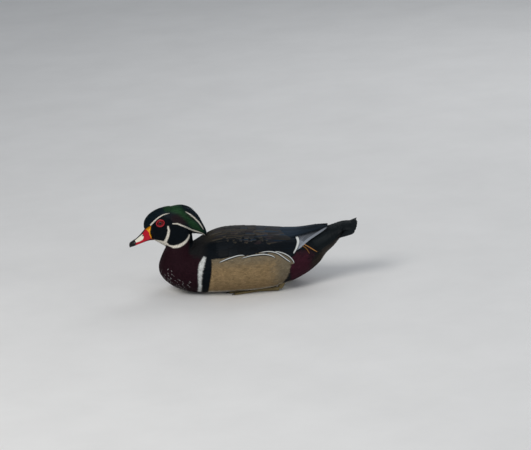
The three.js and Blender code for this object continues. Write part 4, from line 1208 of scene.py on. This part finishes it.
class DUCK_OT_crest(Operator):
    """Sweep the crest's long feathers back from the head"""

    bl_idname = "duck.crest"
    bl_label = "Crest"

    def execute(self, context):
        rng = np.random.default_rng(context.scene.duck_sizes.seed + 2)
        silky = get_material("head feathers")
        places = np.linspace(0, 8, 81)
        steps = np.linalg.norm(np.diff(CREST.place(places, np.zeros(81)), axis=0), axis=-1)
        rest = np.concatenate([np.cumsum(steps[::-1])[::-1], [0]])
        groups = [self.ring(first, places, rest, rng) for first in np.arange(0.05, 7.3, 0.24)]
        add_vanes("crest_feathers", groups, silky, "head_plumage", ("crest",))
        s, angle = ring_grid(0, 7.6, 60, 72)
        core = CREST.at(s, angle, -1.2 - 1.3 * smooth(-s, -1.2, 0))
        paint = Paint(s.shape, context.scene.duck_plumage.black, 0.1)
        paint_head(paint, core[..., 0], core[..., 2], 1.0)
        maps = np.stack([0.01 + 0.11 * s, (angle + 90) / 360], -1)
        add_tube(
            "crest_core", core, paint, silky, maps={"OFBake": maps, "Vane": maps * (60, 90)}
        )
        return {"FINISHED"}

    def ring(self, first, places, rest, rng):
        """One ring of feathers round the crest. None is longer than the rest of the crest behind its root,
        and those of the first rings stand out a little from the head."""
        around = CREST.place(np.full(73, first), np.linspace(-90, 270, 73))
        count = max(6, int(np.linalg.norm(np.diff(around, axis=0), axis=-1).sum() / 1.15))
        q = -90 + 360 * (np.arange(count) + rng.uniform(-0.45, 0.45, count)) / count
        p = first + rng.uniform(-0.12, 0.12, count)
        room = np.interp(p, places, rest)
        length = np.minimum(room * rng.uniform(0.9, 1.02, count), rng.uniform(13, 21, count))
        p, q = straight_paths(CREST, p, q, length, rng.normal(0, 0.04, count), 8)
        raised = 1.8 * math.exp(-(((first - 0.3) / 0.5) ** 2))
        width = rng.uniform(1.3, 1.9, count)
        tips = 0.7 * raised + rng.uniform(-0.15, 0.3, count)
        vanes = surface_vanes(
            CREST, np.minimum(p, 8.12), q, width, (raised - 0.7, tips), nb=0, thick=0.1, camber=0.12,
            shape={"root": 0.7, "tip": 0.3, "blunt": 0.1},
        )
        paint = vanes.painted(bpy.context.scene.duck_plumage.black, 0.1)
        paint_head(paint, vanes.verts[..., 0], vanes.verts[..., 2], 1.0)
        vanes.roots = np.stack([0.01 + 0.11 * p[:, 0], (q[:, 0] + 90) % 360 / 360], -1)
        return varied(vanes, rng)


def side_vanes(paths, width, lifts, na=24, nb=6, **more):
    """Feathers on the left side along paths of x and angle."""
    p, q = path_rows(paths, na)
    return surface_vanes(SIDE, p, q, np.full(len(paths), float(width)), lifts, nb=nb, **more)


def varied(vanes, rng, amount=0.12):
    """Makes each feather a little lighter or darker."""
    vanes.paint[..., :3] *= np.clip(rng.normal(1, amount, len(vanes.verts)), 0.7, 1.3)[:, None, None]
    return vanes


def lying_row(x, reach, width, turn, angles, rng, lifts=(-1.1, 0.6)):
    """A row of feathers that lie on the side of the body, rooted about an x and at some angles."""
    paths = []
    for angle in angles:
        start = x + rng.uniform(-4, 4)
        angle = angle + rng.uniform(-1, 1)
        lean = turn + rng.uniform(-1, 1)
        paths.append([(start, angle), (start + reach / 2, angle + lean / 3), (start + reach, angle + lean)])
    return side_vanes(paths, width, lifts, na=14, nb=6, camber=0.22, thick=0.14)


def on_side(x, angle, lift):
    """A point over the side of the body."""
    return SIDE.at(x, angle, lift)


def outward_at(x, angle):
    """The way out of the body there."""
    return on_side(x, angle, 101) - on_side(x, angle, 1)


def wing_coverts(rng):
    """Black feathers over the front of the wing, with paler edges."""
    c = bpy.context.scene.duck_plumage
    groups = []
    for x, higher in zip(range(-52, 50, 8), COVERT_STAGGER):
        vanes = lying_row(x, 29, 8.5, -1, np.arange(33.5 + higher, 62, 5.5), rng)
        paint = vanes.painted(c.black, 0.1)
        paint.lay(c.mantle, smooth(np.abs(vanes.across), 0.8, 1.0) * 0.5)
        groups.append(varied(vanes, rng, 0.14))
    return groups


def secondaries():
    """Blue-black feathers that end one above the other in the white bar."""
    c = bpy.context.scene.duck_plumage
    paths = []
    for k in range(SECONDARIES):
        x, angle = along_rows(WING_BAR[::-1], np.array(0.05 + k * 4.75 / (SECONDARIES - 1)))
        paths.append(
            [(18, 33 + 3.2 * k), (50, 27 + 3.9 * k), (x - 12, angle - 0.6), (x + 1.4, angle + 0.4)]
        )
    tips = 0.5 + 3.5 * smooth(np.arange(SECONDARIES), 0, 7)
    shape = {"tip": 0.92, "blunt": 0.6}
    vanes = side_vanes(paths, 8, (-1.6, tips), na=60, nb=8, camber=0.2, thick=0.2, shape=shape)
    paint = vanes.painted(c.black, 0.1)
    blue = smooth(vanes.across, -0.6, 0.5) * smooth(vanes.u, 0.4, 0.7) * smooth(-vanes.u, -0.93, -0.85)
    paint.lay(c.night_blue, blue * 0.35, 0.3)
    bar = SIDE.at(*np.transpose(along_rows(WING_BAR, np.linspace(0, 5, 40))), 3.0)
    x, z = vanes.verts[..., 0], vanes.verts[..., 2]
    paint.lay(c.bar_white, line_mask(x, z, bar[:, [0, 2]], (1.0, 1.6, 2.0, 1.9, 1.5, 0.7), 0.3))
    return vanes


def scapulars(rng):
    """The broad shoulder feathers: some violet, more of them night blue towards the rear, and bronze on
    the lower webs, most of all in front."""
    c = bpy.context.scene.duck_plumage
    groups = []
    for row, (x, low) in enumerate(zip(range(-60, 58, 9), SCAPULAR_LOW)):
        rise = smooth(x, 10, 60)
        lifts = (-1.1 + 1.4 * rise, 0.6 + 2.6 * rise)
        vanes = lying_row(x, 34, 8.5, -2, np.arange(low, 93, 5.5), rng, lifts)
        paint = vanes.painted(c.mantle, 0.2)
        tint = rng.uniform(0, 1, (3, len(vanes.verts), 1))
        paint.lay(c.night_blue, smooth(tint[0] + 0.05 * (row - 5), 0.6, 1), 0.3)
        paint.lay(c.bronze_purple, smooth(tint[1], 0.6, 1) * 0.8, 0.2)
        low_web = smooth(-vanes.across, -0.1, 0.8) * smooth(vanes.u, 0.2, 0.6)
        paint.lay(c.bronze, low_web * smooth(tint[2] - 0.04 * row, 0.0, 0.4), 0.2)
        groups.append(varied(vanes, rng, 0.15))
    return groups


def primaries(rng):
    """The primaries, the outermost lowest and longest, with silver outer webs."""
    c = bpy.context.scene.duck_plumage
    paths, facings = [], []
    for i in 0.5 * np.arange(PRIMARIES):
        paths.append([
            on_side(60, 30 + 5 * i, -3.0), on_side(86, 34 + 8 * i, 0.2),
            on_side(108 - 3 * i, 56 + 5 * i, 4.4), (140.5 - 6 * i, -5.4 + 0.5 * i, 92.4),
        ])
        facings.append((outward_at(56, 26 + 6 * i), outward_at(100, 50 + 6 * i)))
    vanes = free_vanes(
        paths, facings, np.full(PRIMARIES, 10.0), na=44, lift=0.42 * np.arange(PRIMARIES), settle=0.8,
        shape={"tip": 0.55, "root": 0.6},
    )
    paint = vanes.painted(c.rump, 0.1)
    outer = smooth(-vanes.across, -0.95, -0.6) * smooth(-vanes.u, -0.99, -0.9)
    outer *= 1 - smooth(vanes.u, 0.65, 0.85) * smooth(vanes.across, -0.3, 0.1)
    streaked = 0.8 + 0.2 * np.sin(vanes.across * 16) * np.sin(vanes.u * 5)
    paint.lay(c.silver, outer * streaked, 0.1)
    paint.lay(c.rump, np.exp(-((vanes.across * 14) ** 2)) * 0.8, 0.1)
    return varied(vanes, rng)


def tertials(rng):
    """The tertials, which lie over the primaries, night blue and blacker towards the lower web and the
    tip."""
    c = bpy.context.scene.duck_plumage
    paths, facings = [], []
    for i in 0.5 * np.arange(TERTIALS):
        paths.append([
            on_side(38, 66 + 10 * i, -4), on_side(66, 66 + 10 * i, 0.6),
            on_side(92 - 2 * i, 69 + 8.5 * i, 6.4), (140.5 - 9 * i, -4.4 + 0.8 * i, 93.6 + 0.15 * i),
        ])
        facings.append((outward_at(38, 62 + 8 * i), outward_at(92, 66 + 7 * i)))
    vanes = free_vanes(
        paths, facings, np.full(TERTIALS, 13.0), na=44, nb=8, lift=0.6 + 0.4 * np.arange(TERTIALS),
        settle=0.85, shape={"tip": 0.45, "root": 0.7, "blunt": 0.05},
    )
    paint = vanes.painted(c.night_blue, 0.3)
    paint.lay(c.rump, smooth(-vanes.across, -0.2, 0.9) * 0.7, 0.2)
    paint.lay(c.rump, smooth(vanes.u, 0.55, 0.9) * 0.6, 0.2)
    return varied(vanes, rng)


def add_pair(name, groups, material, slot, node):
    """Adds feathers of the left side, and their mirror image on the right."""
    add_vanes(f"{name}_left", groups, material, slot, (f"{node}_left",))
    add_vanes(f"{name}_right", [mirrored(g) for g in groups], material, slot, (f"{node}_right",))


class DUCK_OT_wings(Operator):
    """Fold the wings over the back, feather by feather"""

    bl_idname = "duck.wings"
    bl_label = "Wings"

    def execute(self, context):
        rng = np.random.default_rng(context.scene.duck_sizes.seed + 3)
        groups = [*wing_coverts(rng), secondaries(), *scapulars(rng), primaries(rng), tertials(rng)]
        add_pair("wing_feathers", groups, get_material("flight feathers"), "wing_plumage", "wing")
        return {"FINISHED"}


class DUCK_OT_flanks(Operator):
    """Lay the long white-edged feathers along the top of the flanks"""

    bl_idname = "duck.flanks"
    bl_label = "Flanks"

    def execute(self, context):
        c = context.scene.duck_plumage
        lowered = [[(x, angle - 3.4) for x, angle in line] for line in FLANK_LINES]
        tips = np.array(FLANK_LINE_TIPS)
        vanes = side_vanes(
            lowered, FLANK_LINE_WIDE, (-0.9 + 0.3 * tips, tips - 0.9), na=60, nb=30, camber=0.0, thick=0.14,
            tilt=1.1, shape={"root": 0.9, "tip": 0.8, "blunt": 0.2},
        )
        off_edge = (1 - vanes.across) * 0.5 * FLANK_LINE_WIDE
        shown = smooth(vanes.u, 0.02, 0.12) * smooth(-vanes.u, -0.99, -0.9)
        line = 0.35 + 0.85 * np.sin(np.pi * vanes.u) ** 0.6
        paint = flank_colours(vanes.verts[..., 0], vanes.verts[..., 2], 0.0)
        # Painted shadow: a black band just under each white line, standing for the shade that the raised line
        # casts on the flank below it.
        paint.lay(c.black, smooth(line * 2.1 + 0.9 - off_edge, -0.3, 0.3) * shown)
        paint.lay(c.bar_white, smooth(line + 0.75 - off_edge, -0.2, 0.2) * shown)
        paint.lay(c.black, smooth(0.45 - off_edge, -0.2, 0.2))
        vanes.paint = paint.values
        add_pair("flank_edge", [vanes], get_material("barred flank feathers"), "flank_plumage", "flank")
        shape = {"root": 0.8, "tip": 0.7}
        plumes = side_vanes(PLUME_PATHS, 1.5, (0.2, 1.6), na=24, nb=4, camber=0.3, shape=shape)
        plumes.painted(c.orange)
        plumes.paint[1, :, :3] *= 0.5
        satin = get_material("flight feathers")
        add_vanes("rump_plumes", [plumes, mirrored(plumes)], satin, "body_plumage")
        return {"FINISHED"}


def fan_feathers(rng):
    """The fan's own feathers: the middle one uppermost, and those beside it the longest."""
    c = bpy.context.scene.duck_plumage
    pairs = bpy.context.scene.duck_sizes.rectrices
    paths, lifts = [], []
    for k in range(-pairs, pairs + 1):
        angle = k * 90 / (pairs + 0.4)
        i = abs(k) * 5 / pairs
        reach = 1 - 0.011 * (i - 2) ** 2 + rng.uniform(-0.004, 0.004)
        paths.append([(0.1, angle * 0.8), (0.4, angle * 0.92), (0.7, angle), (reach, angle)])
        lifts.append(1.2 - 0.95 * i)
    p, q = path_rows(paths, 40)
    vanes = surface_vanes(
        TAIL, p, q, np.full(len(paths), 12.0), (lifts, lifts), nb=6, thick=0.3, camber=0.25,
        shape={"root": 0.5, "tip": 0.8, "blunt": 0.3},
    )
    paint = vanes.painted(c.tail, 0.12)
    paint.lay(c.rump, smooth(np.abs(vanes.across), 0.0, 0.2) * 0.4, 0.2)
    return varied(vanes, rng, 0.08)


def rump_coverts(rng):
    """Coverts in rings round the rump, raised on its upper side."""
    c = bpy.context.scene.duck_plumage
    groups = []
    for first, count, root_rise, tip_rise in RUMP_COVERTS:
        angles = -90 + 360 * (np.arange(count) + rng.uniform(-0.3, 0.3, count)) / count
        reach = min(1.7, first)
        p, q = path_rows([[(first, a), (first - reach / 2, a), (first - reach, a)] for a in angles], 14)
        upper = smooth(np.sin(np.radians(angles)), 0, 0.8)
        lifts = (root_rise * upper - 1.1, tip_rise * upper + 0.7)
        vanes = surface_vanes(BODY, p, q, np.full(count, 9.0), lifts, nb=4, thick=0.14, camber=0.22)
        paint = vanes.painted(c.rump, 0.15)
        paint.lay(c.under_tail, smooth(-folded(angles), 0, 30)[:, None] * 0.75)
        groups.append(varied(vanes, rng))
    return groups


def long_coverts(rng):
    """Coverts that run from the rump out over both faces of the fan, in rows round it, the longest undermost.
    Their tips face the way the fan does, by the hyperbolic tangent of four times the angle's sine."""
    c = bpy.context.scene.duck_plumage
    count = TAIL_COVERTS_ROUND
    groups = []
    for start, reach, rise in TAIL_COVERTS:
        turned = np.arange(count) + 0.5 * (start > 1.2) + rng.uniform(-0.15, 0.15, count)
        angles = -90 + 360 * turned / count
        sines = np.sin(np.radians(angles))
        angles = angles[(sines > 0.2) | (sines < -0.45)]
        paths, facings = [], []
        for angle in angles:
            sine, cosine = math.sin(math.radians(angle)), math.cos(math.radians(angle))
            spread = -72 * cosine
            flat = math.tanh(4 * sine)
            over = TAIL.basis(reach, spread)[3] * flat + np.array([0, -0.25 * cosine, 0])
            above = 1.2 - 0.056 * abs(spread) + (0.8 + 0.5 * rise) * flat
            end = TAIL.at(reach + rng.uniform(-0.05, 0.05), spread, above)
            paths.append([BODY.at(start, angle, -1.2), BODY.at(start * 0.4, angle, 0.5 + 0.5 * rise), end])
            facings.append((BODY.basis(start, angle)[3], over))
        vanes = free_vanes(
            paths, facings, np.full(len(paths), 9.0), na=20, nb=4, thick=0.12, droop=0.4,
            lift=np.full(len(paths), 0.2 + 0.4 * rise), shape={"tip": 0.62, "root": 0.7},
        )
        paint = vanes.painted(c.rump, 0.12)
        paint.lay(c.under_tail, smooth(-folded(angles), 0, 30)[:, None] * 0.7)
        groups.append(varied(vanes, rng))
    return groups


class DUCK_OT_tail(Operator):
    """Fan the tail feathers and lay the coverts over their roots"""

    bl_idname = "duck.tail"
    bl_label = "Tail"

    def execute(self, context):
        rng = np.random.default_rng(context.scene.duck_sizes.seed + 4)
        groups = [fan_feathers(rng), *rump_coverts(rng), *long_coverts(rng)]
        add_vanes("tail_feathers", groups, get_material("flight feathers"), "tail_plumage", ("tail",))
        return {"FINISHED"}


def paint_bill_base(paint, x, z, mask):
    """The yellow wedge and line where the bill meets the face."""
    c = bpy.context.scene.duck_bare
    paint.lay(c.bill_yellow, patch_mask(x, z, YELLOW_WEDGE, 0.4) * mask)
    paint.lay(c.bill_yellow, line_mask(x, z, BILL_BORDER, (0.4, 0.8, 1.2, 1.7), 0.4) * mask)


class DUCK_OT_bill(Operator):
    """Shape and paint both halves of the bill"""

    bl_idname = "duck.bill"
    bl_label = "Bill"

    def execute(self, context):
        c = context.scene.duck_bare
        horn = get_material("bill horn")
        surface = Surface(lambda s, a: section(UPPER_BILL_ROWS, s, a), (3, 30), (0, -1, 0))
        s, angle = ring_grid(0, len(UPPER_BILL_ROWS) - 1, 231, 192)
        points, _, _, normal = surface.basis(s, angle)
        x, _, z = np.moveaxis(points, -1, 0)
        f = folded(angle)
        nail = 0.55 * np.exp(-(((s - 6.35) / 0.5) ** 2)) * smooth(f, 20, 60)
        along = x - NOSTRIL[0]
        nostril = np.exp(-((along / 2.3) ** 2) - (z - NOSTRIL[1] - 0.8 * along / 2.3) ** 2)
        inside = bill_side(x, z)
        swell = 0.35 * np.exp(-(((inside - 1.2) / 1.1) ** 2))
        lift = nail - 1.5 * nostril + swell - 3.2 * smooth(-inside, -0.1, 1.4)
        paint = Paint(s.shape, c.bill_red)
        paint.lay(c.bill_white, patch_mask(x, z, WHITE_PATCH, 0.6))
        paint_bill_base(paint, x, z, 1.0)
        ridge = smooth(z - along_line(x, CULMEN_LINE), -0.4, 0.4) * smooth(-x, 150, 152)
        tip = smooth(along_line(z, NAIL_EDGE) - x, -0.5, 0.5)
        for mask in (ridge, tip, smooth(nostril, 0.35, 0.7), smooth(-f, 55, 70)):
            paint.lay(c.bill_black, mask)
        add_tube("upper_bill", points + normal * lift[..., None], paint, horn, ("bill_upper",))
        s, angle = ring_grid(0, len(LOWER_BILL_ROWS) - 1, 90, 96)
        paint = Paint(s.shape, c.bill_black)
        paint.lay(c.bill_red, smooth(-s, -1.2, -0.2) * 0.25)
        add_tube("lower_bill", section(LOWER_BILL_ROWS, s, angle), paint, horn, ("bill_lower",))
        return {"FINISHED"}


class DUCK_OT_eyes(Operator):
    """Set the eyes and the bare lids round them"""

    bl_idname = "duck.eyes"
    bl_label = "Eyes"

    def execute(self, context):
        for side, name in ((-1, "left"), (1, "right")):
            self.ball(side, name)
            self.lid(side, name)
        return {"FINISHED"}

    def ball(self, side, name):
        """An eyeball that bulges before its pupil, with an iris that is rayed and darker at its rim."""
        sizes = bpy.context.scene.duck_sizes
        c = bpy.context.scene.duck_bare
        outward, along, up = eye_axes(side)
        turn, around = np.broadcast_arrays(
            np.linspace(0.02, math.pi - 0.02, 120)[:, None], np.linspace(0, 2 * math.pi, 65)[:-1][None]
        )
        away = EYE_RADIUS * np.sin(turn)
        bulge = EYE_RADIUS * np.cos(turn) + 0.25 * np.exp(-((away / 3.2) ** 2)) * (turn < 1.5)
        points = eye_centre(side) + bulge[..., None] * outward + (away * np.cos(around))[..., None] * along
        points = points + (away * np.sin(around))[..., None] * up
        iris = np.array(c.iris[:])
        pupil = sizes.pupil / MM
        rays = 0.5 + 0.5 * np.sin(around * 23) * np.sin(around * 7 + 1)
        paint = Paint(away.shape, iris)
        paint.lay(iris * 0.45, smooth(away, 3.0, sizes.iris / MM) * 0.8)
        paint.lay(iris * 1.5, rays * smooth(away, 2.4, 3.0) * smooth(-away, -4.0, -3.2) * 0.5)
        paint.lay(c.bill_black, smooth(-away, -pupil - 0.12, -pupil + 0.12))
        paint.lay(c.bill_black, smooth(turn, 1.2, 1.4))
        wet = get_material("wet eyeball")
        add_tube(f"eyeball_{name}", points, paint, wet, (f"eye_{name}",), flip=side < 0)

    def lid(self, side, name):
        """A ring round the eye: an ellipse drawn out at its two corners, with a flattened tube along it."""
        colour = np.array(bpy.context.scene.duck_bare.lid[:])
        outward, along, up = eye_axes(side)
        centre = BODY.at(*EYE_AT, 0.1) * (1, -side, 1)
        turn, around = np.broadcast_arrays(
            np.linspace(0, 2 * math.pi, 121)[:-1][:, None], np.linspace(0, 2 * math.pi, 25)[:-1][None]
        )
        corner = np.abs(np.cos(turn)) ** 6
        folds = 0.06 * np.sin(turn * 30) * np.cos(around)
        size = LID_TUBE * (1 - 0.25 * corner) + folds
        spread = size * np.cos(around)
        a = np.cos(turn) * (LID_ALONG + 0.35 * corner + spread)
        b = np.sin(turn) * (LID_ACROSS + spread)
        lift = size * 0.85 * np.sin(around)
        points = centre + a[..., None] * along + b[..., None] * up + lift[..., None] * outward
        quads = grid_quads(np.pad(np.arange(turn.size).reshape(turn.shape), (0, 1), "wrap"))
        if side > 0:
            quads = quads[:, ::-1]
        paint = Paint(turn.shape, colour)
        paint.lay(colour * 0.45, smooth(np.cos(around), 0.5, 1.0) * 0.7)
        add_piece(
            f"lids_{name}", points.reshape(-1, 3), [quads], get_material("bare lid"),
            (f"eyelids_{name}",), paint=paint.values.reshape(-1, 4),
        )


def limb_points(path, radii, rings=56, sides=24, knuckles=0.0):
    """Rings round a path of points: the radius is interpolated along it, with soft knuckles and round
    ends."""
    u = np.linspace(0, 1, rings)
    spine = along_rows(path, u * (len(path) - 1))
    radius = along_rows(np.array(radii, float)[:, None], u * (len(radii) - 1))[:, 0]
    ends = 1 - np.clip(np.minimum(u, 1 - u) / 0.07, 0, 1)
    radius = radius * (1 + knuckles * np.cos(u * 6 * math.pi)) * np.sqrt(1 - 0.96 * ends**2)
    way = unit(np.gradient(spine, axis=0))
    aside = unit(np.cross((0, 0, 1), way))
    up = np.cross(way, aside)
    turn = np.linspace(0, 2 * math.pi, sides, endpoint=False)
    circle = aside[:, None] * np.cos(turn)[None, :, None] + up[:, None] * np.sin(turn)[None, :, None]
    return spine[:, None] + circle * radius[:, None, None]


class DUCK_OT_feet(Operator):
    """Fold the legs and the webbed feet under the belly"""

    bl_idname = "duck.feet"
    bl_label = "Feet"

    def execute(self, context):
        c = context.scene.duck_bare
        scaly = get_material("foot scales")
        legs = [
            limb_points(((61, -36, 17), (60, -40, 10), HEEL), (6.5, 4.6, 3.1)),
            limb_points((HEEL, (40, -41.5, 3.2), (ANKLE[0] - 1.6, *ANKLE[1:])), (3.3, 2.6, 2.8)),
        ]
        toes, claws = [], []
        for end, radius in zip(TOE_TIPS, TOE_RADII):
            bends = [self.toward(end, share, z) for share, z in TOE_BENDS]
            radii = (radius + 0.5, radius, radius * 0.85, radius * 0.6)
            toes.append(limb_points(bends, radii, knuckles=0.06))
            tip = self.toward(end, 0.88, 1.8)
            middle = (end[0] * 0.6 + tip[0] * 0.4, end[1] * 0.6 + tip[1] * 0.4, 2.0)
            claws.append(limb_points((tip, middle, (*end, 0.8)), (1.1, 0.8, 0.15)))
        hind = [(TOES_START[0] + x, TOES_START[1] + y, z) for x, y, z in HIND_TOE]
        toes.append(limb_points(hind, (1.6, 1.2, 0.7)))
        for side, name in ((1, "left"), (-1, "right")):
            self.add(f"leg_{name}_skin", legs, side, c.foot, scaly, (f"leg_{name}",))
            self.add(f"foot_{name}_toes", toes, side, c.foot, scaly, (f"foot_{name}",))
            self.add(f"foot_{name}_claws", claws, side, c.claw, get_material("bill horn"))
            self.web(f"foot_{name}_web", side, c.web, scaly)
        return {"FINISHED"}

    def toward(self, end, share, z):
        """A point at some share of the way along a toe, at a height."""
        return (*(start + (stop - start) * share for start, stop in zip(TOES_START, end)), z)

    def add(self, name, grids, side, colour, material, replaces=()):
        """Joins several closed tubes of the left side into one piece, mirrored for side -1."""
        verts, faces, count = [], [], 0
        for grid in grids:
            points, parts = tube(grid * (1, side, 1), flip=side > 0)
            verts.append(points)
            faces.extend(part + count for part in parts)
            count += len(points)
        paint = Paint((count,), colour).values
        add_piece(name, np.concatenate(verts), faces, material, replaces, paint=paint)

    def web(self, name, side, colour, material):
        """The web: a thin sheet from the ankle that is scalloped between the toes."""
        u = np.linspace(0, 1, 30)[:, None]
        v = np.linspace(0, 2, 41)[None]
        tips = np.array(TOE_TIPS, float)
        k = np.minimum(v.astype(int), 1)
        t = v - k
        end = tips[k] * (1 - t[..., None]) + tips[k + 1] * t[..., None]
        reach = 0.9 - 0.9 * t * (1 - t)
        flat = np.array(TOES_START) + (end - np.array(TOES_START)) * (u * reach)[..., None]
        high = 0.9 + 0.25 * np.sin(u * 40) * np.sin(t * math.pi)
        sheets = [np.concatenate([flat, z[..., None]], -1) for z in (high, np.full(high.shape, 0.1))]
        points = np.concatenate([sheet.reshape(-1, 3) for sheet in sheets]) * (1, side, 1)
        index = np.arange(high.size).reshape(high.shape)
        quads = grid_quads(index)
        rim = np.concatenate([index[0, :-1], index[:-1, -1], index[-1, :0:-1], index[:0:-1, 0]])
        after = np.roll(rim, -1)
        wall = np.stack([rim, after, after + high.size, rim + high.size], -1)
        faces = [quads, quads[:, ::-1] + high.size, wall]
        if side > 0:
            faces = [f[:, ::-1] for f in faces]
        add_piece(name, points, faces, material, paint=Paint((len(points),), colour).values)


class DUCK_OT_stage(Operator):
    """Add the pale floor, the soft lights and the camera"""

    bl_idname = "duck.stage"
    bl_label = "Stage"

    def execute(self, context):
        scene = context.scene
        floor = bpy.data.meshes.new("floor")
        floor.from_pydata([(-9, -6, 0), (9, -6, 0), (9, 16, 0), (-9, 16, 0)], [], [(0, 1, 2, 3)])
        floor.materials.append(flat_material("floor", (0.80, 0.80, 0.80), 0.7))
        ground = bpy.data.objects.new("floor", floor)
        scene.collection.objects.link(ground)
        world = bpy.data.worlds.new("studio")
        world.use_nodes = True
        sky = world.node_tree.nodes["Background"].inputs
        sky[0].default_value = SKY
        sky[1].default_value = SKY_STRENGTH
        scene.world = world
        for name, place, size, power, tint in LAMPS:
            light = bpy.data.lights.new(name, "AREA")
            light.size = size
            light.energy = power
            light.color = tint
            lamp = bpy.data.objects.new(name, light)
            lamp.location = place
            way = Vector(np.subtract(LAMPS_AIM, place))
            lamp.rotation_euler = way.to_track_quat("-Z", "Y").to_euler()
            scene.collection.objects.link(lamp)
        scene.view_settings.view_transform = "Standard"
        self.camera(scene)
        return {"FINISHED"}

    def camera(self, scene):
        """A long lens square to the bird's left side, looking down and tilted as the photographer held it.
        The waterline's middle falls on its own pixel of the picture."""
        width, height = PICTURE
        pixel = PIXEL * MM
        down, roll = math.radians(CAMERA_DOWN), math.radians(CAMERA_ROLL)
        level = np.array([1, 0, 0])
        raised = np.array([0, math.sin(down), math.cos(down)])
        right = level * math.cos(roll) - raised * math.sin(roll)
        up = level * math.sin(roll) + raised * math.cos(roll)
        back = np.cross(right, up)
        middle = np.array([SHIFT, 0, MIDDLE_HEIGHT * MM])
        across, over = width / 2 - MIDDLE_PIXEL[0], MIDDLE_PIXEL[1] - height / 2
        aim = middle + (across * right + over * up) * pixel
        data = bpy.data.cameras.new("camera")
        data.sensor_width = 36
        data.lens = data.sensor_width * DISTANCE / (width * pixel)
        data.clip_end = 60
        eye = bpy.data.objects.new("camera", data)
        turn = np.stack([right, up, back], 1)
        eye.matrix_world = Matrix.Translation(aim + back * DISTANCE) @ Matrix(turn.tolist()).to_4x4()
        scene.collection.objects.link(eye)
        scene.camera = eye


class DUCK_PT_panel(Panel):
    """The steps of the duck in the sidebar"""

    bl_idname = "DUCK_PT_panel"
    bl_label = "Wood Duck"
    bl_space_type = "VIEW_3D"
    bl_region_type = "UI"
    bl_category = "Wood Duck"

    def draw(self, context):
        for step in STEPS:
            self.layout.operator(step.bl_idname)
        for group in (context.scene.duck_sizes, context.scene.duck_plumage, context.scene.duck_bare):
            for name in group.__annotations__:
                self.layout.prop(group, name)


STEPS = (
    DUCK_OT_stage,
    DUCK_OT_skin,
    DUCK_OT_body_coat,
    DUCK_OT_head_coat,
    DUCK_OT_crest,
    DUCK_OT_wings,
    DUCK_OT_flanks,
    DUCK_OT_tail,
    DUCK_OT_bill,
    DUCK_OT_eyes,
    DUCK_OT_feet,
)
GROUPS = {"duck_sizes": DuckSizes, "duck_plumage": PlumageColours, "duck_bare": BareColours}


def register():
    for item in (*GROUPS.values(), *STEPS, DUCK_PT_panel):
        bpy.utils.register_class(item)
    for name, group in GROUPS.items():
        setattr(bpy.types.Scene, name, PointerProperty(type=group))


def unregister():
    for name in GROUPS:
        delattr(bpy.types.Scene, name)
    for item in reversed((*GROUPS.values(), *STEPS, DUCK_PT_panel)):
        bpy.utils.unregister_class(item)


def main():
    register()
    for step in STEPS:
        getattr(bpy.ops.duck, step.bl_idname.split(".")[1])()


if __name__ == "__main__":
    main()
